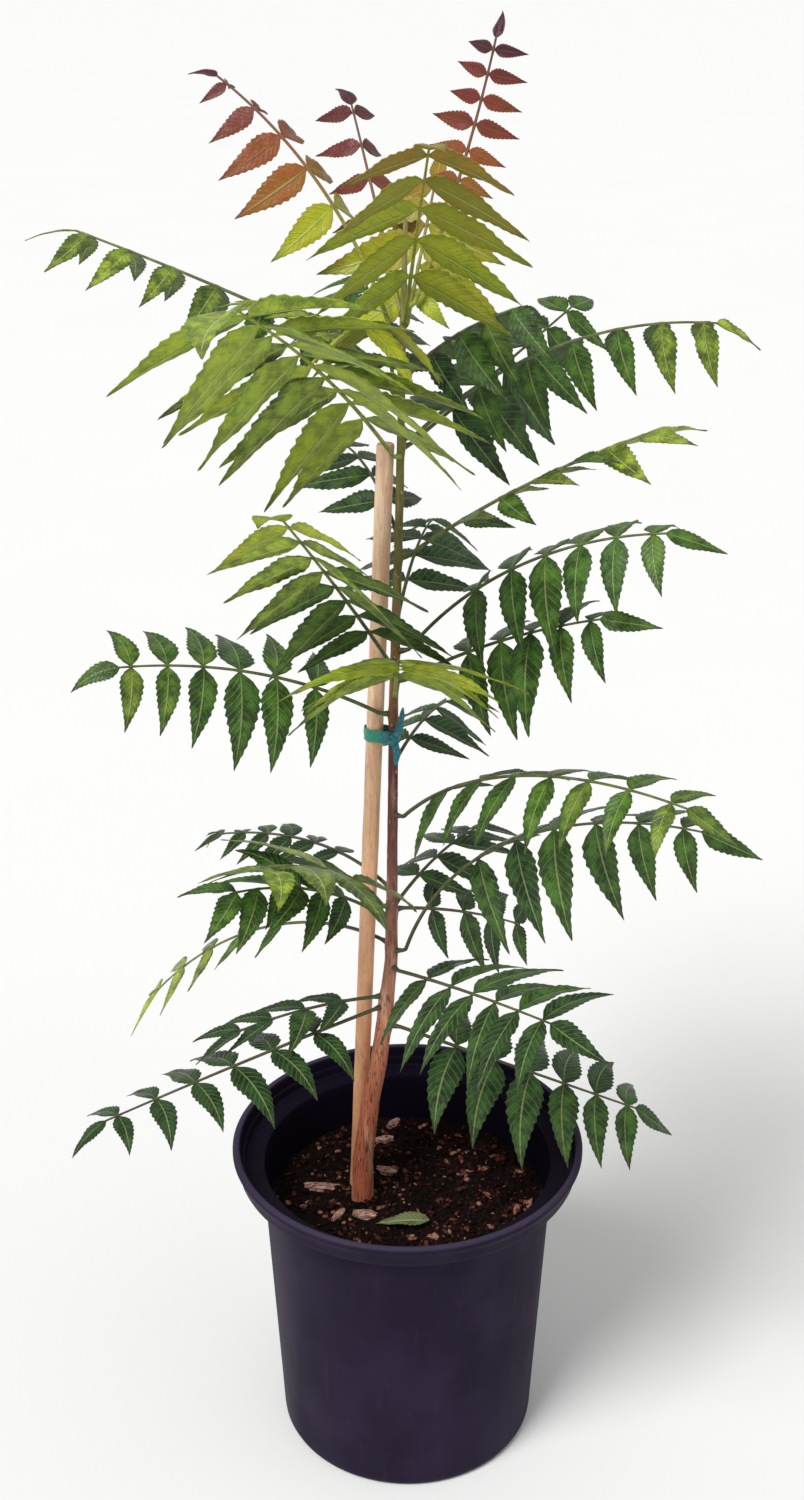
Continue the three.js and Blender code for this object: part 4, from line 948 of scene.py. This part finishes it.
class LeafMesh:
    """Points and faces of a whole leaf with the age, tint and place on the blade of each point."""

    def __init__(self):
        self.points = []
        self.faces = []
        self.finishes = []
        self.ages = []
        self.tints = []
        self.places = []

    def add_points(self, points, age, tint, places):
        first = len(self.points)
        self.points.extend(points)
        self.ages.extend([age] * len(points))
        self.tints.extend([tint] * len(points))
        self.places.extend(places)
        return first

    def add_face(self, face, finish_number):
        self.faces.append(face)
        self.finishes.append(finish_number)

    def add_stalk(self, frond, route, joints, ages):
        for ring in range(STALK_RINGS + 1):
            share = ring / STALK_RINGS
            centre = point_along(route, share)
            side, up = frond_frame(frond, share)[1:]
            length = frond["length"]
            radius = stalk_radius(share) * STALK_SLIMNESS
            for place, (swell, reach) in [(0, STALK_FOOT)] + [(joint, STALK_JOINT) for joint in joints]:
                radius += swell * math.exp(-((share - place) * length / reach) ** 2)
            points = [centre + side * x * radius + up * y * radius for angle, x, y in spokes(STALK_SIDES)]
            age = between(ages[0], ages[1], share)
            first = self.add_points(points, age, 0.5, [(0.5, share)] * STALK_SIDES)
            if ring:
                for face in band(first - STALK_SIDES, first, STALK_SIDES):
                    self.add_face(face, 2)
        self.add_face(tuple(range(STALK_SIDES - 1, -1, -1)), 2)
        self.add_face(tuple(range(first, first + STALK_SIDES)), 2)

    def add_blade(self, stations, length, level, hand, seed, age):
        """A leaflet's toothed blade, folded along its rib, its edges waved and clear of the stalk."""
        fold = between(*BLADE_FOLDS, draw(seed + 3.1))
        wave = between(*BLADE_WAVES, draw(seed + 4.7)) * 0.06
        phase = 6.28 * draw(seed + 5.9)
        tint = draw(seed + 6.3)
        rows = [(0.0, 1, 1), (0.03, 1, 1), (0.07, 1, 1)]
        step = (TEETH_END - TEETH_START) / BLADE_TEETH
        for tooth in range(BLADE_TEETH):
            start = TEETH_START + tooth * step
            rows.append((start, TOOTH_NARROW, TOOTH_WIDE))
            rows.append((start + step * 0.55, TOOTH_WIDE, TOOTH_NARROW))
        rows += [(TEETH_END, TOOTH_NARROW, TOOTH_WIDE), (0.935, 1, 1), (0.97, 1, 1)]
        last = None
        for share, tip_tooth, base_tooth in rows:
            place = share * BLADE_STEPS
            i = min(int(place), BLADE_STEPS - 1)
            ribs = [station[0] for station in stations]
            centre = rounded_path(ribs, share)
            towards = stations[i][1].lerp(stations[i + 1][1], place - i).normalized()
            upper = stations[i][2].lerp(stations[i + 1][2], place - i).normalized()
            forward = towards.cross(upper).normalized()
            if forward.dot(stations[-1][0] - stations[0][0]) < 0:
                forward = -forward
            room = (centre - stations[0][0]).dot(level) - ROOT_ROOM
            tops = []
            bottoms = []
            for across in BLADE_COLUMNS:
                tipward = across > 0
                widths, tooth = (TIPWARD_WIDTHS, tip_tooth) if tipward else (BASEWARD_WIDTHS, base_tooth)
                edge = abs(across)
                width = width_at(widths, share) * length * (1 + (tooth - 1) * edge)
                lift = width * (fold * edge + BLADE_CUPPING * math.sin(math.pi * edge) * edge)
                lift += length * wave * 0.16 * edge * math.sin(share * 15 + phase + across)
                jut = length * TOOTH_JUT * max(0, tooth - 1) * edge
                reach = towards * across * width
                back = -reach.dot(level)
                if share > 0 and back > max(0.0, room):
                    reach *= max(0.1, room / back)
                point = centre + reach + upper * lift + forward * jut
                half = BLADE_HALF * (1 - 0.4 * share)
                tops.append(point + upper * (half - (0.0 if across else RIB_GROOVE)))
                bottoms.append(point - upper * (half + (0.0 if across else RIB_KEEL * (1 - share))))
            places = [(across / 2 + 0.5, share) for across in BLADE_COLUMNS]
            first = self.add_points(tops + bottoms, age, tint, places * 2)
            if last is not None:
                for k in range(4):
                    top = (last + k, last + k + 1, first + k + 1, first + k)
                    low = (last + 5 + k, first + 5 + k, first + 6 + k, last + 6 + k)
                    self.add_blade_face(top, 0, hand)
                    self.add_blade_face(low, 1, hand)
                self.add_blade_face((last, first, first + 5, last + 5), 0, hand)
                self.add_blade_face((last + 4, last + 9, first + 9, first + 4), 0, hand)
            else:
                self.add_blade_face((first, first + 5, first + 6, first + 7, first + 8, first + 9,
                                     first + 4, first + 3, first + 2, first + 1), 1, hand)
            last = first
        tip = stations[-1][0]
        upper = stations[-1][2]
        first = self.add_points([tip + upper * 0.1, tip - upper * 0.1], age, tint, [(0.5, 1)] * 2)
        for k in range(4):
            self.add_blade_face((last + k, last + k + 1, first), 0, hand)
            self.add_blade_face((last + 5 + k, first + 1, last + 6 + k), 1, hand)
        self.add_blade_face((last, first, first + 1, last + 5), 0, hand)
        self.add_blade_face((last + 4, last + 9, first + 1, first), 0, hand)

    def add_blade_face(self, face, finish_number, hand):
        """Turns the face over on the blades whose tipward side lies on the other hand."""
        self.add_face(face if hand >= 0 else tuple(reversed(face)), finish_number)

    def make(self, name):
        piece = lay_mesh(name, [point * MM for point in self.points], self.faces)
        mark_points(piece, "age", self.ages)
        mark_points(piece, "tint", self.tints)
        layer = piece.data.uv_layers.new(name="Blade")
        flat = []
        for loop in piece.data.loops:
            flat.extend(self.places[loop.vertex_index])
        layer.data.foreach_set("uv", flat)
        piece.data.polygons.foreach_set("material_index", self.finishes)
        return piece


LEAF_BY_AGE = [
    (0.0, (0.060, 0.017, 0.028, 1)), (0.12, (0.165, 0.030, 0.024, 1)), (0.26, (0.27, 0.080, 0.016, 1)),
    (0.38, (0.30, 0.180, 0.016, 1)), (0.43, (0.28, 0.245, 0.016, 1)), (0.50, (0.42, 0.455, 0.020, 1)),
    (0.60, (0.300, 0.410, 0.026, 1)), (0.70, (0.118, 0.168, 0.020, 1)), (0.80, (0.048, 0.122, 0.013, 1)),
    (1.0, (0.015, 0.048, 0.012, 1)),
]
RIB_PALE = (0.54, 0.62, 0.25, 1)
RIB_BRONZE = (0.26, 0.09, 0.05, 1)
UNDERSIDE_GREY = (0.22, 0.28, 0.15, 1)
MARGIN_BRONZE = (0.22, 0.085, 0.02, 1)
MARGIN_GREEN = (0.020, 0.050, 0.010, 1)
TIP_PAINTED_SHADE = (0.020, 0.020, 0.012, 1)
STALK_TAN = (0.15, 0.105, 0.050, 1)

# Colour of a leaf by its age, moved by the leaflet's own tint and mottled in light and dark patches
leaf_age_colour, finish, given, result = new_group(
    "Leaf colour by age", [("Age", "value"), ("Tint", "value"), ("Place", "place")],
    [("Colour", "colour"), ("Cloud", "value")])
cloud = finish.noise(given["Place"], 110.0, 4.0, 0.6)
shift = finish.spread(cloud, 0.3, 0.7, 0.035, -0.035)
shift = finish.plus(shift, finish.spread(given["Tint"], 0.0, 1.0, -0.04, 0.04))
aged = finish.ramp(finish.plus(given["Age"], shift), LEAF_BY_AGE)
contrast = finish.spread(given["Age"], 0.5, 0.75, 0.3, 1.0)
mottle = finish.times(finish.spread(cloud, 0.36, 0.62, -0.4, 0.55), contrast)
shaded = finish.node("ShaderNodeVectorMath", operation="SCALE")
finish.feed(shaded.inputs[0], aged)
finish.feed(shaded.inputs["Scale"], finish.plus(mottle, 1.0))
finish.feed(result["Colour"], shaded.outputs[0])
finish.feed(result["Cloud"], cloud)

# Marks of a blade: the rib down its middle, side veins slanting to the tip, the margin and the tip, where
# painted shade goes
blade_veins, finish, given, result = new_group(
    "Blade veins", [("Place", "place")],
    [("Rib", "value"), ("Veins", "value"), ("Margin", "value"), ("Tip", "value")])
split = finish.node("ShaderNodeSeparateXYZ")
finish.feed(split.inputs[0], given["Place"])
across, along = split.outputs[0], split.outputs[1]
from_rib = finish.times(finish.math("ABSOLUTE", finish.minus(across, 0.5)), 2.0)
rib_width = finish.spread(along, 0.0, 1.0, 0.045, 0.11)
rib_share = finish.math("DIVIDE", from_rib, rib_width)
finish.feed(result["Rib"], finish.spread(rib_share, 0.6, 1.3, 1.0, 0.0))
along_veins = finish.times(along, 12.0)
slant = finish.minus(along_veins, finish.times(from_rib, 1.9))
to_vein = finish.math("ABSOLUTE", finish.minus(finish.math("FRACT", slant), 0.5))
finish.feed(result["Veins"], finish.spread(to_vein, 0.02, 0.2, 1.0, 0.0))
finish.feed(result["Margin"], finish.spread(from_rib, 0.5, 1.0))
finish.feed(result["Tip"], finish.spread(along, 0.74, 1.0))


def leaf_finish(name, underside):
    material, finish, shader, place = new_material(name)
    age = finish.attribute("age")
    colour = finish.use(leaf_age_colour, age=age, tint=finish.attribute("tint"), place=place)
    veins = finish.use(blade_veins, place=finish.node("ShaderNodeUVMap", uv_map="Blade").outputs[0])
    blade = colour["Colour"]
    if underside:
        blade = finish.blend(0.12, blade, UNDERSIDE_GREY)
    edging = finish.blend(finish.spread(age, 0.4, 0.52), MARGIN_BRONZE, MARGIN_GREEN)
    edging_strength = finish.spread(age, 0.55, 0.8, 0.25, 0.6)
    blade = finish.blend(finish.times(veins["Margin"], edging_strength), blade, edging)
    # Painted shade: the tip of every leaflet is painted darker, towards black, as shade
    blade = finish.blend(finish.times(veins["Tip"], 0.5), blade, TIP_PAINTED_SHADE)
    rib_colour = finish.blend(finish.spread(age, 0.15, 0.4), RIB_BRONZE, RIB_PALE)
    vein_strength = finish.spread(age, 0.4, 0.6, 0.02, 0.2)
    vein_strength = finish.times(vein_strength, finish.spread(age, 0.62, 0.85, 1.0, 0.6))
    blade = finish.blend(finish.times(veins["Veins"], vein_strength), blade, rib_colour)
    rib_strength = finish.spread(age, 0.6, 0.85, 0.6, 0.36)
    blade = finish.blend(finish.times(veins["Rib"], rib_strength), blade, rib_colour)
    roughness = (0.42, 0.60) if underside else (0.30, 0.46)
    cover(finish, shader, blade, finish.spread(colour["Cloud"], 0.3, 0.7, *roughness))
    shader.inputs["Specular IOR Level"].default_value = 0.28
    relief = finish.times(veins["Veins"], finish.spread(age, 0.35, 0.75, 0.15, 1.0))
    relief = finish.plus(relief, finish.times(veins["Rib"], 1.5))
    relief = finish.times(relief, 1.0 if underside else -1.0)
    relief = finish.plus(relief, finish.times(colour["Cloud"], 2.5))
    press_relief(finish, shader, relief, 0.0008, 0.8)
    return material


leaf_top = leaf_finish("Leaf upper side", False)
leaf_under = leaf_finish("Leaf underside", True)

leaf_stalk, finish, shader, place = new_material("Leaf stalk")
colour = finish.use(leaf_age_colour, age=finish.attribute("age"), tint=0.8, place=place)
ridges = finish.noise(place, 700.0, 3.0)
stalk = finish.blend(finish.spread(ridges, 0.35, 0.65, 0.25, 0.6), colour["Colour"], STALK_TAN)
cover(finish, shader, stalk, finish.spread(ridges, 0.3, 0.7, 0.4, 0.6))
press_relief(finish, shader, ridges, 0.0002, 0.5)

for number, frond in enumerate(FRONDS):
    node = f"frond_{frond['name']}"
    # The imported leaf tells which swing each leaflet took, and which found no room at all
    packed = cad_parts[node].data.vertices
    tree = kdtree.KDTree(len(packed))
    for i, vertex in enumerate(packed):
        tree.insert(vertex.co, i)
    tree.balance()
    route = stalk_route(frond)
    plan = leaflet_plan(frond, number)
    leaf = LeafMesh()
    joints = sorted({leaflet["share"] for leaflet in plan if leaflet["hand"]})
    leaf.add_stalk(frond, route, joints, frond["age"])
    for leaflet in plan:
        for swing in SWINGS:
            stations, length, level = midrib(frond, route, leaflet, swing)
            miss = tree.find(blade_tip(stations) * MM)[2]
            if miss < TIP_MISS * MM:
                seed = leaflet["seed"]
                age = between(*frond["age"], leaflet["share"])
                age += AGE_STRAY * age * draw(seed + 8.1) ** 3
                leaf.add_blade(stations, length, level, leaflet["hand"], seed, age)
                break
    piece = leaf.make(f"Leaf_{frond['name']}")
    hand_over(piece, node, [leaf_top, leaf_under, leaf_stalk], 60)


# A leaflet has dropped on the soil in front of the stem and gone pale as it fades.
# It rests on its two ends, arched a little between them, with the tip to the left.
FALLEN_CENTRE = Vector((-4, -36, SOIL_HEIGHT + 3.2))
FALLEN_LENGTH = 40
FALLEN_TURN = 6
FALLEN_ARCH = 1.5
FADED_GREEN = (0.125, 0.170, 0.058, 1)
FADED_BROWN = (0.100, 0.068, 0.026, 1)

fallen = LeafMesh()
turn = Matrix.Rotation(math.radians(FALLEN_TURN), 3, "Z")
fallen_stations = []
for i in range(BLADE_STEPS + 1):
    share = i / BLADE_STEPS
    point = Vector(((0.5 - share) * FALLEN_LENGTH, 0, FALLEN_ARCH * math.sin(share * math.pi)))
    fallen_stations.append((FALLEN_CENTRE + turn @ point, turn @ Vector((0, 1, 0)), Vector((0, 0, 1))))
fallen.add_blade(fallen_stations, FALLEN_LENGTH, turn @ Vector((-1, 0, 0)), -1, 41, 0.6)

faded_leaf, finish, shader, place = new_material("Faded leaflet")
veins = finish.use(blade_veins, place=finish.node("ShaderNodeUVMap", uv_map="Blade").outputs[0])
fading = finish.noise(place, 160.0, 3.0)
blade = finish.blend(finish.spread(fading, 0.5, 0.68), FADED_GREEN, FADED_BROWN)
blade = finish.blend(finish.times(veins["Rib"], 0.6), blade, RIB_PALE)
blade = finish.blend(finish.times(veins["Veins"], 0.25), blade, RIB_PALE)
cover(finish, shader, blade, finish.spread(fading, 0.3, 0.7, 0.5, 0.7))
press_relief(finish, shader, veins["Veins"], 0.0003)
hand_over(fallen.make("Fallen_leaflet"), "fallen_leaflet", [faded_leaf, faded_leaf], 60)


# The pot stands on a plain pale studio floor under one large soft lamp, a fainter one on the other
# side and an even white surround. The camera looks down from a little over the tree's top.
FLOOR_REACH = 40
FLOOR_PALE = (0.86, 0.86, 0.85, 1)
FLOOR_PALER = (0.89, 0.89, 0.88, 1)
SURROUND_STRENGTH = 0.46
CAMERA_PLACE = (0, -1.15, 1.0586)
CAMERA_DIP = 23.88
CAMERA_TURN = 0.20
CAMERA_LENS = 45.6

floor = lay_mesh("Studio_floor", [
    (-FLOOR_REACH, -FLOOR_REACH, 0), (FLOOR_REACH, -FLOOR_REACH, 0),
    (FLOOR_REACH, FLOOR_REACH, 0), (-FLOOR_REACH, FLOOR_REACH, 0)], [(0, 1, 2, 3)])
floor_paint, finish, shader, place = new_material("Pale studio floor")
mottle = finish.noise(place, 3.0, 2.0)
cover(finish, shader, finish.blend(mottle, FLOOR_PALE, FLOOR_PALER), 0.9)
floor.data.materials.append(floor_paint)

world = bpy.data.worlds.new("White surround")
world.use_nodes = True
world.node_tree.nodes["Background"].inputs["Color"].default_value = (1, 1, 1, 1)
world.node_tree.nodes["Background"].inputs["Strength"].default_value = SURROUND_STRENGTH
bpy.context.scene.world = world


def soft_lamp(name, direction, softness, strength):
    lamp = bpy.data.lights.new(name, "SUN")
    lamp.angle = math.radians(softness)
    lamp.energy = strength
    stand = bpy.data.objects.new(name, lamp)
    stand.location = Vector(direction) * 2
    stand.rotation_euler = Vector(direction).to_track_quat("Z", "Y").to_euler()
    bpy.context.collection.objects.link(stand)


soft_lamp("Main lamp", (-0.5, -0.6, 1.0), 24, 2.5)
soft_lamp("Fill lamp", (0.9, -0.6, 0.7), 60, 0.3)

camera = bpy.data.objects.new("Camera", bpy.data.cameras.new("Camera"))
camera.location = CAMERA_PLACE
camera.rotation_euler = (math.radians(90 - CAMERA_DIP), 0, math.radians(CAMERA_TURN))
camera.data.lens = CAMERA_LENS
bpy.context.collection.objects.link(camera)
bpy.context.scene.camera = camera
bpy.context.scene.view_settings.view_transform = "Standard"
